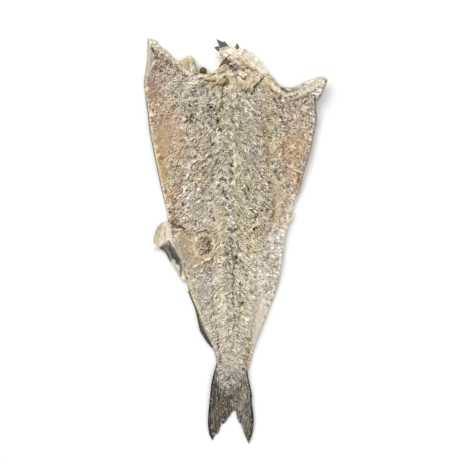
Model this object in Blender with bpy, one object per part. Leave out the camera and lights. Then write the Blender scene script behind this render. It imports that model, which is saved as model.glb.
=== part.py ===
"""A split, salted and dried fish lying on its skin, flesh side up: head off, belly opened flat, tail fin on.

The fish is one piece, so it is one solid. +Y runs from the tail to the collar, +Z is up, and the floor is Z = 0.
Lengths below are millimetres on the real fish, in plan, and become metres when the meshes are made.
"""

import math

import bmesh
import bpy
import numpy as np
from mathutils import Vector

MM = 0.001

# Plan outline of the flesh, each edge from the tail to the collar.
LEFT_EDGE = [
    (-17, -180), (-22, -169), (-24, -155.5), (-24, -148), (-27.5, -134.5), (-34.5, -120), (-41, -107),
    (-49, -85.5), (-57.5, -64.5),
    (-68, -25.5), (-76, -5.5), (-82.5, 14.5), (-86, 34.5), (-92.5, 64.5), (-100, 99.5), (-107, 134.5),
    (-110.5, 164.5), (-115, 194.5), (-113, 209.5), (-110.5, 227), (-109.5, 252.75),
]
RIGHT_EDGE = [
    (2, -177.5), (8.5, -170.5), (14, -162), (17, -155.5), (19.5, -144.5), (24.5, -129), (30.5, -113),
    (37.5, -96), (45.5, -76), (53, -54.5), (57.5, -33), (60, -13), (62.5, 4.5), (68, 23), (73, 45.5),
    (81, 64.5), (85.5, 84.5),
    (92.5, 105.5), (98, 130.5), (102, 152), (101, 167), (107.5, 182), (115.2, 200.5),
]
# The cut along the collar, from the left corner to the right one, and the flesh's tongue over the tail fin.
COLLAR_CUT = [
    (-109.5, 252.75), (-98, 250), (-92.5, 242.5), (-84.5, 237.5), (-77, 229), (-69.5, 226), (-62, 231),
    (-56, 232.5), (-51, 227), (-48, 215.5), (-42, 211), (-33, 210.5), (-24.5, 214.5), (-14.5, 222),
    (5.5, 226), (22, 222), (33, 214.5), (40.5, 209.5), (48, 204.5), (54.5, 195), (63, 192.5), (72, 192.5),
    (80.5, 196), (90.5, 201), (100.5, 204), (109.5, 205), (115.2, 200.5),
]
TONGUE = [(-17, -180), (-10, -186), (-5.5, -183), (2, -177.5)]

# Tail fin: its root inside the flesh, its two outer edges, and the frayed trailing edge round the fork.
TAIL_ROOT = [(-22, -146), (-4, -144), (14, -148)]
TAIL_LEFT = [
    (-22, -146), (-26, -159), (-30, -175.5), (-31.5, -188), (-33, -202), (-34, -214.5), (-34.5, -227),
    (-33, -239.5), (-29, -248.5),
]
TAIL_RIGHT = [
    (14, -148), (15.8, -167.5), (18, -179), (20.5, -191), (20.3, -198.5), (21.5, -209), (22.7, -220.5),
    (22.5, -230.5), (20.5, -241.5), (16.5, -252.75),
]
TAIL_FRAY = [
    (-29, -248.5), (-26, -241.5), (-22, -239.5), (-19.5, -233), (-17.5, -226.5), (-15.5, -228), (-12, -224.5),
    (-10.5, -221), (-7.5, -218), (-5, -213.5), (-1.5, -210), (0.5, -212), (1.5, -217), (2.5, -222), (5, -226.5),
    (7.5, -228), (9, -234.5), (11, -240.5), (14, -246.5), (16.5, -252.75),
]

# The two anal fins stay on the left edge, as the belly cut passes to one side of them: root, then outer edge.
FRONT_FIN_ROOT = [(-76, 27), (-79, 12), (-74.5, -6), (-69, -24), (-62, -48)]
FRONT_FIN_EDGE = [
    (-85, 25.5), (-92.5, 23), (-97, 18.5), (-100, 10.5), (-102, 2.5), (-101.5, -5), (-95.5, -8), (-88, -12.5),
    (-82.5, -23.5), (-75, -34), (-71.5, -40.5), (-67, -50),
]
REAR_FIN_ROOT = [(-54, -60.5), (-47, -81.5), (-41, -98), (-34, -112), (-27, -131)]
REAR_FIN_EDGE = [
    (-61.5, -62), (-53.5, -81.5), (-49, -95.5), (-44, -112.5), (-39.5, -120), (-34.5, -127.5), (-28, -134),
]

# Grid of the flesh: squares across and along, and the outer rings of squares that curl off the floor.
ACROSS, ALONG, CURL_RINGS = 38, 66, 6

# Thickness of the flesh along the fish, as (share of the length from the tail, thickness).
LOIN_THICKNESS = [(0.0, 7.0), (0.12, 10.5), (0.45, 14.0), (0.75, 17.5), (0.93, 15.0), (1.0, 11.0)]
EDGE_THICKNESS = 3.6
FLAP_THINNING = 0.5
FLAKE_PITCH, FLAKE_STEP, FLAKE_SLOPE = 15.0, 1.3, 0.85
FIN_THICKNESS, RAY_HEIGHT = 1.8, 0.7

# Raised folds and open cracks in the flesh: end points in plan, half width, height (a crack's is negative).
FOLDS = [
    ((-4.5, 114), (-5, 62), 2.2, 1.6),
    ((43, 166), (47, 104), 3.5, 1.8),
    ((47, 104), (43, 40), 3.5, 1.8),
    ((-45, 62), (-24, 107), 3.0, 2.4),
    ((-40, 57), (-20, 100), 2.6, -2.6),
    ((37, 4), (52, 42), 2.6, -4.0),
    ((44, 0), (58, 38), 3.4, 2.6),
    ((30, -34), (44, 2), 3.2, 1.8),
    ((-7, 14), (-5, -30), 2.6, -4.2),
    ((-56, -34), (-28, -17), 2.4, 2.4),
    ((8, -70), (5, -84), 2.2, -3.0),
    ((-19, 10), (-14, -170), 3.0, 1.4),
    ((14, -10), (6, -165), 3.0, 1.4),
    ((-62, 205), (-22, 200), 5.0, 3.0),
    ((-48, 197), (2, 206), 4.0, 3.4),
    ((-2, 198), (26, 192), 5.0, 3.2),
    ((20, 205), (62, 176), 4.5, 3.4),
    ((26, 196), (18, 176), 2.4, -3.6),
]
PIT_CENTRE, PIT_RADII, PIT_DEPTH, PIT_RIM = (-35.0, -4.0), (8.0, 12.5), 2.6, 1.6

# Nape: the knot of tissue left where the head was cut off, its path from the collar up to the left, with radii.
NAPE_PATH = [((36, 206, 8.5), 6.5), ((27, 216, 9.5), 9.0), ((13, 226, 11.0), 11.0), ((-3, 233, 12.0), 10.5),
             ((-14, 237, 12.0), 8.0), ((-20, 237, 12.0), 5.0)]
NAPE_RINGS, NAPE_SIDES = 22, 16
# Splinters of skin and bone: root, tip and root radius.
SPLINTERS = [
    ((-18, 239, 13), (-26.5, 240.5, 15), 3.0),
    ((-15, 241, 14), (-23.5, 251.2, 17), 3.2),
    ((-12, 242, 13), (-14, 249, 15), 3.0),
    ((1, 237, 14), (1.5, 246.5, 16), 3.0),
    ((-17, 232, 10), (-25, 228, 11), 2.8),
    ((-99, -3, 6), (-102.5, -12, 6), 1.8),
    ((67, 24, 5), (75.5, 36.5, 7), 1.8),
]
BONE_END, BONE_RADIUS = (-40.5, 213.0, 7.0), 4.6


def smooth_step(value, low, high):
    """0 below low, 1 above high, and a smooth rise between."""
    share = np.clip((value - low) / (high - low), 0, 1)
    return share * share * (3 - 2 * share)


def noise(x, y, cell, seed):
    """Smooth noise from -1 to 1 whose lumps are about one cell wide."""
    table = np.random.RandomState(seed).uniform(-1, 1, (64, 64))
    gx, gy = x / cell, y / cell
    ix, iy = np.floor(gx).astype(int), np.floor(gy).astype(int)
    fx, fy = gx - ix, gy - iy
    fx, fy = fx * fx * (3 - 2 * fx), fy * fy * (3 - 2 * fy)
    low = table[ix % 64, iy % 64] * (1 - fx) + table[(ix + 1) % 64, iy % 64] * fx
    high = table[ix % 64, (iy + 1) % 64] * (1 - fx) + table[(ix + 1) % 64, (iy + 1) % 64] * fx
    return low * (1 - fy) + high * fy


def along_curve(points, count, rounded=True):
    """count + 1 points spaced evenly along the line through the given ones, rounded or with sharp corners."""
    points = np.array(points, float)
    if rounded:
        ends = np.vstack([2 * points[0] - points[1], points, 2 * points[-1] - points[-2]])
        t = np.linspace(0, 1, 9)[:-1, None]
        runs = []
        for a, b, c, d in zip(ends, ends[1:], ends[2:], ends[3:]):
            runs.append(b + 0.5 * t * (c - a + t * (2 * a - 5 * b + 4 * c - d + t * (3 * (b - c) + d - a))))
        points = np.vstack([*runs, points[-1:]])
    length = np.concatenate([[0], np.cumsum(np.linalg.norm(np.diff(points, axis=0), axis=1))])
    at = np.linspace(0, length[-1], count + 1)
    return np.stack([np.interp(at, length, points[:, k]) for k in range(points.shape[1])], axis=1)


def patch(south, north, west, east):
    """A grid that fills four edge curves: positions x, y and shares s (west to east) and t (south to north)."""
    s = np.linspace(0, 1, len(south))[:, None, None]
    t = np.linspace(0, 1, len(west))[None, :, None]
    corners = (1 - s) * (1 - t) * south[0] + s * (1 - t) * south[-1] + (1 - s) * t * north[0] + s * t * north[-1]
    plan = (1 - s) * west[None] + s * east[None] + (1 - t) * south[:, None] + t * north[:, None] - corners
    return plan[..., 0], plan[..., 1], s[..., 0] + 0 * t[..., 0], t[..., 0] + 0 * s[..., 0]


def fold_relief(x, y, start, end, half_width, height):
    """Height of one fold or crack, a rounded ridge along a straight line that fades at its ends."""
    ax, ay = start
    dx, dy = end[0] - ax, end[1] - ay
    share = np.clip(((x - ax) * dx + (y - ay) * dy) / (dx * dx + dy * dy), 0, 1)
    gap = np.hypot(x - ax - share * dx, y - ay - share * dy)
    return height * np.exp(-((gap / half_width) ** 2)) * (0.45 + 0.55 * np.sin(math.pi * share))


def flakes(x, y, u):
    """Steps between the muscle flakes, which meet in chevrons on the midline and point to the head."""
    phase = (y + FLAKE_SLOPE * 95 * np.abs(u) ** 1.2 + 5 * noise(x, y, 22, 3)) / FLAKE_PITCH
    saw = phase - np.floor(phase)
    return FLAKE_STEP * (np.minimum(saw / 0.75, (1 - saw) / 0.25) - 0.5)


def lift(s, t):
    """How far the underside curls off the floor: nothing inside the curl rings, most at the collar's corners."""
    across = np.minimum(s, 1 - s) * ACROSS / CURL_RINGS
    along = np.minimum(t, 1 - t) * ALONG / CURL_RINGS
    margin = np.clip(np.minimum(across, along), 0, 1)
    u = np.abs(2 * s - 1)
    flap = 5.0 * smooth_step(t, 0.45, 0.85) * smooth_step(u, 0.6, 1)
    corner = 11.0 * smooth_step(t, 0.82, 1) * smooth_step(u, 0.7, 1)
    wave = 1.2 * np.sin(2 * math.pi * 3.4 * t + 5 * s) * smooth_step(t, 0.1, 0.3)
    return (1 - margin) ** 1.6 * (2.6 + flap + corner + wave)


def thickness(s, t):
    """Thickness of the flesh without its relief: thick loins, thin belly flaps and a shallow midline."""
    u = np.abs(2 * s - 1)
    shares, loins = zip(*LOIN_THICKNESS)
    full = np.interp(t, shares, loins)
    body = EDGE_THICKNESS + (full - EDGE_THICKNESS) * np.maximum(1 - u**2.6, 0) ** 0.6
    body *= 1 - FLAP_THINNING * smooth_step(u, 0.55, 0.8) * smooth_step(t, 0.5, 0.66)
    midline = 1.8 * np.exp(-((u / 0.1) ** 2)) * smooth_step(t, 0.32, 0.5) * (1 - smooth_step(t, 0.85, 0.95))
    rim = 1.6 * smooth_step(u, 0.84, 0.95) * smooth_step(t, 0.3, 0.5)
    collar_rim = 2.0 * smooth_step(t, 0.92, 0.98)
    return np.maximum(body - midline + rim + collar_rim, EDGE_THICKNESS)


def relief(x, y, s, t):
    """What stands on the flesh: flakes, lumps, folds, cracks and the pit, fading out at its very edge."""
    u = 2 * s - 1
    loin = 1 - smooth_step(np.abs(u), 0.6, 0.85) * smooth_step(t, 0.42, 0.55)
    height = loin * (flakes(x, y, u) + 0.9 * noise(x, y, 9, 11)) + 1.0 * noise(x, y, 26, 7)
    for start, end, half_width, fold_height in FOLDS:
        height = height + fold_relief(x, y, start, end, half_width, fold_height)
    reach = np.hypot((x - PIT_CENTRE[0]) / PIT_RADII[0], (y - PIT_CENTRE[1]) / PIT_RADII[1])
    height = height - PIT_DEPTH * (1 - smooth_step(reach, 0.6, 1.0))
    height = height + PIT_RIM * np.exp(-(((reach - 1.15) / 0.2) ** 2))
    fade = np.clip(np.minimum(s, 1 - s) / 0.06, 0, 1) * np.clip(np.minimum(t, 1 - t) / 0.03, 0, 1)
    return height * fade


def new_object(name, bm, material):
    """Turns a bmesh in millimetres into a smooth-shaded object in metres."""
    bmesh.ops.recalc_face_normals(bm, faces=bm.faces)
    bmesh.ops.scale(bm, vec=(MM, MM, MM), verts=bm.verts)
    mesh = bpy.data.meshes.new(name)
    bm.to_mesh(mesh)
    bm.free()
    mesh.materials.append(material)
    mesh.shade_smooth()
    obj = bpy.data.objects.new(name, mesh)
    bpy.context.scene.collection.objects.link(obj)
    return obj


def grid_faces(bm, verts, cells):
    """Two triangles for each listed cell of a grid of vertices, split along the shorter diagonal."""
    for i, j in cells:
        a, b, c, d = verts[i, j], verts[i + 1, j], verts[i + 1, j + 1], verts[i, j + 1]
        if (a.co - c.co).length <= (b.co - d.co).length:
            bm.faces.new((a, b, c))
            bm.faces.new((a, c, d))
        else:
            bm.faces.new((a, b, d))
            bm.faces.new((b, c, d))


def ring(i0, i1, j0, j1):
    """Grid positions once round a rectangle."""
    south = [(i, j0) for i in range(i0, i1)]
    east = [(i1, j) for j in range(j0, j1)]
    north = [(i, j1) for i in range(i1, i0, -1)]
    west = [(i0, j) for j in range(j1, j0, -1)]
    return south + east + north + west


def slab(name, x, y, top, bottom, material, flat_from=None):
    """A closed sheet between two height fields on one grid. Inside ring flat_from, the underside is one face."""
    bm = bmesh.new()
    across, along = x.shape[0] - 1, x.shape[1] - 1
    upper, lower = {}, {}
    for i in range(across + 1):
        for j in range(along + 1):
            upper[i, j] = bm.verts.new((x[i, j], y[i, j], top[i, j]))
            if flat_from is None or min(i, across - i, j, along - j) <= flat_from:
                lower[i, j] = bm.verts.new((x[i, j], y[i, j], bottom[i, j]))
    cells = [(i, j) for i in range(across) for j in range(along)]
    grid_faces(bm, upper, cells)
    if flat_from is not None:
        low, high_i, high_j = flat_from, across - flat_from, along - flat_from
        cells = [(i, j) for i, j in cells if not (low <= i < high_i and low <= j < high_j)]
        bm.faces.new([lower[key] for key in ring(low, high_i, low, high_j)])
    grid_faces(bm, lower, cells)
    edge = ring(0, across, 0, along)
    for here, there in zip(edge, edge[1:] + edge[:1]):
        bm.faces.new((lower[here], lower[there], upper[there], upper[here]))
    return new_object(name, bm, material)


def flesh(material):
    """The opened fish without fins: thick loins on either side of the midline, thin belly flaps outside them."""
    x, y, s, t = patch(
        along_curve(TONGUE, ACROSS), along_curve(COLLAR_CUT, ACROSS),
        along_curve(LEFT_EDGE, ALONG), along_curve(RIGHT_EDGE, ALONG),
    )
    bottom = lift(s, t)
    top = bottom + np.maximum(thickness(s, t) + relief(x, y, s, t), EDGE_THICKNESS * 0.8)
    return slab("dried_fish", x, y, top, bottom, material, flat_from=CURL_RINGS)


def fin(name, root, trailing, left, right, rays, lengths, material, height):
    """A fin of straight rays from its root to its trailing edge, thick on each ray and thin between two."""
    across = 2 * rays
    x, y, s, t = patch(
        along_curve(root, across), along_curve(trailing, across, rounded=False),
        along_curve(left, lengths), along_curve(right, lengths),
    )
    on_ray = (np.arange(across + 1) % 2)[:, None] * (0.35 + 0.65 * np.sin(math.pi * np.clip(t, 0.05, 0.75)))
    middle = height(s, t)
    half = FIN_THICKNESS / 2 + RAY_HEIGHT / 2 * on_ray
    return slab(name, x, y, middle + half, middle - half, material)


def tail_fin(material):
    """The forked tail fin, which leaves the flesh half way up and comes down to the floor at its tips."""
    def height(s, t):
        return 2.1 + 2.6 * (1 - t) ** 1.5 + 0.5 * np.sin(6 * s + 3 * t)
    return fin("tail_fin", TAIL_ROOT, TAIL_FRAY, TAIL_LEFT, TAIL_RIGHT, 14, 9, material, height)


def side_fin(name, root, edge, rays, rise, material):
    """An anal fin on the left edge, its rays running outwards from the flesh."""
    def height(s, t):
        return 3.6 + rise * t * np.sin(math.pi * np.clip(s, 0, 1)) + 0.4 * np.sin(9 * s)
    left, right = [root[0], edge[0]], [root[-1], edge[-1]]
    return fin(name, root, edge, left, right, rays, 3, material, height)


def nape(material):
    """The knotted stump of the nape: a lumpy roll with closed ends that lies across the collar."""
    centres = along_curve([point for point, _ in NAPE_PATH], NAPE_RINGS)
    given = np.linspace(0, 1, len(NAPE_PATH))
    radii = np.interp(np.linspace(0, 1, NAPE_RINGS + 1), given, [radius for _, radius in NAPE_PATH])
    bm = bmesh.new()
    rows = []
    for k, (centre, radius) in enumerate(zip(centres, radii)):
        ahead = Vector(centres[min(k + 1, NAPE_RINGS)] - centres[max(k - 1, 0)]).normalized()
        side = ahead.cross(Vector((0, 0, 1))).normalized()
        up = side.cross(ahead)
        row = []
        for a in range(NAPE_SIDES):
            turn = 2 * math.pi * a / NAPE_SIDES
            bump = 1 + 0.2 * float(noise(np.array(k * 3.0), np.array(a * 4.0), 7, 21))
            bump += 0.09 * math.sin(5 * turn + 0.8 * k)
            offset = side * math.cos(turn) + up * math.sin(turn) * 0.85
            row.append(bm.verts.new(Vector(centre) + offset * radius * bump))
        rows.append(row)
    for low, high in zip(rows, rows[1:]):
        for a in range(NAPE_SIDES):
            b = (a + 1) % NAPE_SIDES
            bm.faces.new((low[a], low[b], high[b], high[a]))
    bm.faces.new(rows[0])
    bm.faces.new(rows[-1])
    return new_object("nape", bm, material)


def splinter(index, root, tip, radius, material):
    """A short pointed splinter from its root to its tip."""
    bm = bmesh.new()
    axis = Vector(tip) - Vector(root)
    bmesh.ops.create_cone(bm, cap_ends=True, segments=7, radius1=radius, radius2=0.25, depth=axis.length)
    turn = axis.to_track_quat("Z", "Y").to_matrix()
    bmesh.ops.rotate(bm, cent=(0, 0, 0), matrix=turn, verts=bm.verts)
    bmesh.ops.translate(bm, vec=Vector(root) + axis / 2, verts=bm.verts)
    return new_object(f"splinter_{index}", bm, material)


def bone_end(material):
    """The round dark end of a bone in the collar's notch."""
    bm = bmesh.new()
    bmesh.ops.create_icosphere(bm, subdivisions=2, radius=BONE_RADIUS)
    bmesh.ops.translate(bm, vec=BONE_END, verts=bm.verts)
    return new_object("bone_end", bm, material)


def dried_flesh_material():
    """Dry, salt-crusted flesh: pale grey cream and matt."""
    material = bpy.data.materials.new("dried_flesh")
    material.use_nodes = True
    shader = material.node_tree.nodes["Principled BSDF"]
    shader.inputs["Base Color"].default_value = (0.50, 0.42, 0.31, 1)
    shader.inputs["Roughness"].default_value = 0.85
    shader.inputs["Metallic"].default_value = 0.0
    return material


def join(body, pieces):
    """Fuses the pieces into the body with one Boolean union and removes them."""
    group = bpy.data.collections.new("fused")
    bpy.context.scene.collection.children.link(group)
    for piece in pieces:
        bpy.context.scene.collection.objects.unlink(piece)
        group.objects.link(piece)
    union = body.modifiers.new("union", "BOOLEAN")
    union.operation, union.operand_type, union.solver = "UNION", "COLLECTION", "EXACT"
    union.collection = group
    bpy.context.view_layer.update()
    graph = bpy.context.evaluated_depsgraph_get()
    fused = bpy.data.meshes.new_from_object(body.evaluated_get(graph))
    body.modifiers.remove(union)
    body.data = fused
    for piece in pieces:
        bpy.data.objects.remove(piece)
    bpy.data.collections.remove(group)


def main():
    for obj in list(bpy.data.objects):
        bpy.data.objects.remove(obj)
    material = dried_flesh_material()
    fish = flesh(material)
    pieces = [
        tail_fin(material),
        side_fin("front_fin", FRONT_FIN_ROOT, FRONT_FIN_EDGE, 8, 3.0, material),
        side_fin("rear_fin", REAR_FIN_ROOT, REAR_FIN_EDGE, 6, 0.6, material),
        nape(material),
        bone_end(material),
    ]
    pieces += [splinter(k, *data, material) for k, data in enumerate(SPLINTERS)]
    join(fish, pieces)


main()
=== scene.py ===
"""A split, salted and dried fish, flesh side up: visual pieces, floor, lights and camera over its frame.

The plan is the one in the part's source: millimetres on the real fish, +Y from the tail to the collar, +Z up.
Places that were read off the photograph are pixels, turned into millimetres by at_pixel.
"""

import collections
import math

import bpy
import numpy as np
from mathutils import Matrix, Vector


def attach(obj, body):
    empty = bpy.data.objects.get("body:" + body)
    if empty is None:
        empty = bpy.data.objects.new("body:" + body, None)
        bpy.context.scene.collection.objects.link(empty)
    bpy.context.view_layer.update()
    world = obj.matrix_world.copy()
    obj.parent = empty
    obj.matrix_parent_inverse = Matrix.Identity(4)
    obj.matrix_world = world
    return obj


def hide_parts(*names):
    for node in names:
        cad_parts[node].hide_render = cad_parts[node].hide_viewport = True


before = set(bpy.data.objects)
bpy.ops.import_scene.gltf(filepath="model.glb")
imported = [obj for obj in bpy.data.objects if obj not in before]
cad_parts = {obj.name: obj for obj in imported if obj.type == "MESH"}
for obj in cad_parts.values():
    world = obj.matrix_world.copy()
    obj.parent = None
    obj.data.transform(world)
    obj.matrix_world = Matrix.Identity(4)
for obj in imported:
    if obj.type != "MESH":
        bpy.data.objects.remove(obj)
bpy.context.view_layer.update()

MM = 0.001
PIXEL_MM, PIXEL_X0, PIXEL_Y0 = 1.25, 235.5, 241.5
PHOTO_SIDE = 465

# Plan outline of the flesh, each edge from the tail to the collar.
LEFT_EDGE = [
    (-17, -180), (-22, -169), (-24, -155.5), (-24, -148), (-27.5, -134.5), (-34.5, -120), (-41, -107),
    (-49, -85.5), (-57.5, -64.5),
    (-68, -25.5), (-76, -5.5), (-82.5, 14.5), (-86, 34.5), (-92.5, 64.5), (-100, 99.5), (-107, 134.5),
    (-110.5, 164.5), (-115, 194.5), (-113, 209.5), (-110.5, 227), (-109.5, 252.75),
]
RIGHT_EDGE = [
    (2, -177.5), (8.5, -170.5), (14, -162), (17, -155.5), (19.5, -144.5), (24.5, -129), (30.5, -113),
    (37.5, -96), (45.5, -76), (53, -54.5), (57.5, -33), (60, -13), (62.5, 4.5), (68, 23), (73, 45.5),
    (81, 64.5), (85.5, 84.5),
    (92.5, 105.5), (98, 130.5), (102, 152), (101, 167), (107.5, 182), (115.2, 200.5),
]
# The cut along the collar, from the left corner to the right one, and the flesh's tongue over the tail fin.
COLLAR_CUT = [
    (-109.5, 252.75), (-98, 250), (-92.5, 242.5), (-84.5, 237.5), (-77, 229), (-69.5, 226), (-62, 231),
    (-56, 232.5), (-51, 227), (-48, 215.5), (-42, 211), (-33, 210.5), (-24.5, 214.5), (-14.5, 222),
    (5.5, 226), (22, 222), (33, 214.5), (40.5, 209.5), (48, 204.5), (54.5, 195), (63, 192.5), (72, 192.5),
    (80.5, 196), (90.5, 201), (100.5, 204), (109.5, 205), (115.2, 200.5),
]
TONGUE = [(-17, -180), (-10, -186), (-5.5, -183), (2, -177.5)]

# Tail fin: its root inside the flesh, its two outer edges, and the frayed trailing edge round the fork.
TAIL_ROOT = [(-22, -146), (-4, -144), (14, -148)]
TAIL_LEFT = [
    (-22, -146), (-26, -159), (-30, -175.5), (-31.5, -188), (-33, -202), (-34, -214.5), (-34.5, -227),
    (-33, -239.5), (-29, -248.5),
]
TAIL_RIGHT = [
    (14, -148), (15.8, -167.5), (18, -179), (20.5, -191), (20.3, -198.5), (21.5, -209), (22.7, -220.5),
    (22.5, -230.5), (20.5, -241.5), (16.5, -252.75),
]
TAIL_FRAY = [
    (-29, -248.5), (-26, -241.5), (-22, -239.5), (-19.5, -233), (-17.5, -226.5), (-15.5, -228),
    (-12, -224.5), (-10.5, -221), (-7.5, -218), (-5, -213.5), (-1.5, -210), (0.5, -212), (1.5, -217),
    (2.5, -222), (5, -226.5), (7.5, -228), (9, -234.5), (11, -240.5), (14, -246.5), (16.5, -252.75),
]

# The two anal fins stay on the left edge, as the belly cut passes to one side of them: root, then outer edge.
FRONT_FIN_ROOT = [(-76, 27), (-79, 12), (-74.5, -6), (-69, -24), (-62, -48)]
FRONT_FIN_EDGE = [
    (-85, 25.5), (-92.5, 23), (-97, 18.5), (-100, 10.5), (-102, 2.5), (-101.5, -5), (-95.5, -8), (-88, -12.5),
    (-82.5, -23.5), (-75, -34), (-71.5, -40.5), (-67, -50),
]
REAR_FIN_ROOT = [(-54, -60.5), (-47, -81.5), (-41, -98), (-34, -112), (-27, -131)]
REAR_FIN_EDGE = [
    (-61.5, -62), (-53.5, -81.5), (-49, -95.5), (-44, -112.5), (-39.5, -120), (-34.5, -127.5), (-28, -134),
]

# Grid of the flesh: squares across and along, and the outer rings of squares that curl off the floor.
ACROSS, ALONG, CURL_RINGS = 38, 66, 6

# Thickness of the flesh along the fish, as (share of the length from the tail, thickness).
LOIN_THICKNESS = [(0.0, 7.0), (0.12, 10.5), (0.45, 14.0), (0.75, 17.5), (0.93, 15.0), (1.0, 11.0)]
EDGE_THICKNESS = 3.6
FLAP_THINNING = 0.5
FLAKE_PITCH, FLAKE_STEP, FLAKE_SLOPE = 15.0, 1.3, 0.85

# Raised folds and open cracks in the flesh: end points in plan, half width, height (a crack's is negative).
FOLDS = [
    ((-4.5, 114), (-5, 62), 2.2, 1.6),
    ((43, 166), (47, 104), 3.5, 1.8),
    ((47, 104), (43, 40), 3.5, 1.8),
    ((-45, 62), (-24, 107), 3.0, 2.4),
    ((-40, 57), (-20, 100), 2.6, -2.6),
    ((37, 4), (52, 42), 2.6, -4.0),
    ((44, 0), (58, 38), 3.4, 2.6),
    ((30, -34), (44, 2), 3.2, 1.8),
    ((-7, 14), (-5, -30), 2.6, -4.2),
    ((-56, -34), (-28, -17), 2.4, 2.4),
    ((8, -70), (5, -84), 2.2, -3.0),
    ((-19, 10), (-14, -170), 3.0, 1.4),
    ((14, -10), (6, -165), 3.0, 1.4),
    ((-62, 205), (-22, 200), 5.0, 3.0),
    ((-48, 197), (2, 206), 4.0, 3.4),
    ((-2, 198), (26, 192), 5.0, 3.2),
    ((20, 205), (62, 176), 4.5, 3.4),
    ((26, 196), (18, 176), 2.4, -3.6),
]
PIT_CENTRE, PIT_RADII, PIT_DEPTH, PIT_RIM = (-35.0, -4.0), (8.0, 12.5), 2.6, 1.6

# Nape: the knot of tissue left where the head was cut off. Places and radii, from the collar to the left.
NAPE_PATH = [
    ((36, 206, 8.5), 6.5), ((27, 216, 9.5), 9.0), ((13, 226, 11.0), 11.0), ((-3, 233, 12.0), 10.5),
    ((-14, 237, 12.0), 8.0), ((-20, 237, 12.0), 5.0),
]
# Splinters of skin and bone: root, tip and root radius.
SPLINTERS = [
    ((-18, 239, 13), (-26.5, 240.5, 15), 3.0),
    ((-15, 241, 14), (-23.5, 251.2, 17), 3.2),
    ((-12, 242, 13), (-14, 249, 15), 3.0),
    ((1, 237, 14), (1.5, 246.5, 16), 3.0),
    ((-17, 232, 10), (-25, 228, 11), 2.8),
    ((-99, -3, 6), (-102.5, -12, 6), 1.8),
    ((67, 24, 5), (75.5, 36.5, 7), 1.8),
]
PALE_SPLINTERS = (4, 5, 6)
# Fins of the back on the skin side: shares of the fish's length at the tail end and the head end, and reach.
# Then how far each stands out from its front to its rear, as shares of its reach.
DORSAL_FINS = [(0.15, 0.31, 17), (0.37, 0.6, 19), (0.68, 0.85, 23)]
DORSAL_PROFILE = [0.1, 0.62, 0.95, 1.0, 0.94, 0.84, 0.72, 0.58, 0.46, 0.34, 0.2]
BONE_END, BONE_RADIUS = (-40.5, 213.0, 7.0), 4.6
# Dark tube in the gap under the nape, painted shadow that the CAD model lacks: its path and radii.
NAPE_SHADOW_PATH, NAPE_SHADOW_RADII = [(-4, 227, 8), (-12, 222, 8), (-21, 216, 7)], [5.5, 5.0, 1.0]

# Values of the visual pieces alone
FISH_EDGES = (TONGUE, COLLAR_CUT, LEFT_EDGE, RIGHT_EDGE)
# Grid of the visual flesh: squares across and along, and inset of its outer line. Then the squares of one
# face on its hidden underside.
FLESH_ACROSS, FLESH_ALONG, FLESH_INSET = 260, 440, 0.005
UNDERSIDE_ACROSS, UNDERSIDE_ALONG = 20, 8
# Shares along the fish below which the flesh keeps every fourth and every second column.
COARSE_TO, MEDIUM_TO = 0.12, 0.36
# Skin: shares from the edge of the rows that shape its lip, and rows across and along inside the lip.
SKIN_LIP, SKIN_ACROSS, SKIN_ALONG = [0.0, 0.0035, 0.0065, 0.012, 0.022, 0.035], 101, 201
# Fins: rays, squares across the rays and squares along them.
TAIL_GRID, FRONT_FIN_GRID = (13, 156, 120), (12, 170, 80)
REAR_FIN_GRID, DORSAL_GRID = (16, 160, 24), (15, 120, 24)
# Tubes: rings along and sides around.
NAPE_GRID, SPLINTER_GRID, NAPE_SHADOW_GRID, BONE_GRID = (110, 64), (14, 12), (20, 16), (18, 28)
# Relief of the torn flesh, in millimetres: overlapping scraps, threads, plates, lumps and the finest crumb.
SCRAP_RELIEF, CREST_RELIEF, PLATE_RELIEF, LUMP_RELIEF, FINE_RELIEF = 0.86, 0.84, 0.48, 0.34, 0.52
SCRAP_PITCH = 6.2
# Towards the tail the flesh is finer. The change starts and ends this far below the middle, in millimetres.
FINER_FROM, FINER_TO = 15, 70
# Side from which crests look lit, as in the photograph.
LIT_SIDE = (0.67, -0.74)
EDGE_ROUNDING, SKIN_THICKNESS, LEAST_THICKNESS, LIP_HEIGHT = 2.4, 1.2, 2.6, 2.0
CHEVRON_TURN = math.radians(38)
# Threads of the flesh's material: their pitch, and how much longer they are along the fibres.
THREAD_MM, FLOW_STRETCH = 2.6, 0.32
# Salt grains, torn slivers of flesh and rings along a sliver. Then the salt away from the salty places.
SALT_GRAINS, FLAKE_COUNT, FLAKE_RINGS = 5600, 4200, 5
SALT_EVERYWHERE = 0.14
# How much darker the flesh is than the photograph's colours, and how strong light and shade are on them.
ALBEDO_GAIN, TONE_GAIN = 0.8, 0.31

# Colours, as the sRGB values from 0 to 255 of the places in the photograph
BODY_COLOUR = (185, 173, 152)
# The pale rim is partly painted light on the lower right.
RIM_COLOUR, PALE_RIM_COLOUR = (220, 208, 182), (232, 222, 200)
BLOOM_COLOUR, STAIN_COLOUR = (190, 182, 173), (170, 153, 114)
SKIN_COLOUR, SKIN_BELLY_COLOUR = (104, 97, 84), (176, 170, 156)
# The skin rim's pale colour is partly painted light on the lip; it also lightens the salt dust.
SKIN_RIM_COLOUR, SKIN_LINE_COLOUR = (224, 218, 206), (152, 148, 138)
TAIL_LEFT_COLOUR, TAIL_RIGHT_COLOUR, TAIL_ROOT_COLOUR = (78, 69, 56), (100, 93, 80), (132, 127, 118)
FIN_PALE_COLOUR, FIN_DARK_COLOUR = (239, 229, 207), (66, 58, 49)
NAPE_COLOUR, SPIKE_COLOUR, BONE_COLOUR = (243, 233, 215), (104, 101, 100), (96, 82, 44)
NAPE_PATCH_COLOUR, NAPE_SHADOW_COLOUR = (186, 164, 130), (92, 72, 50)
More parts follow.
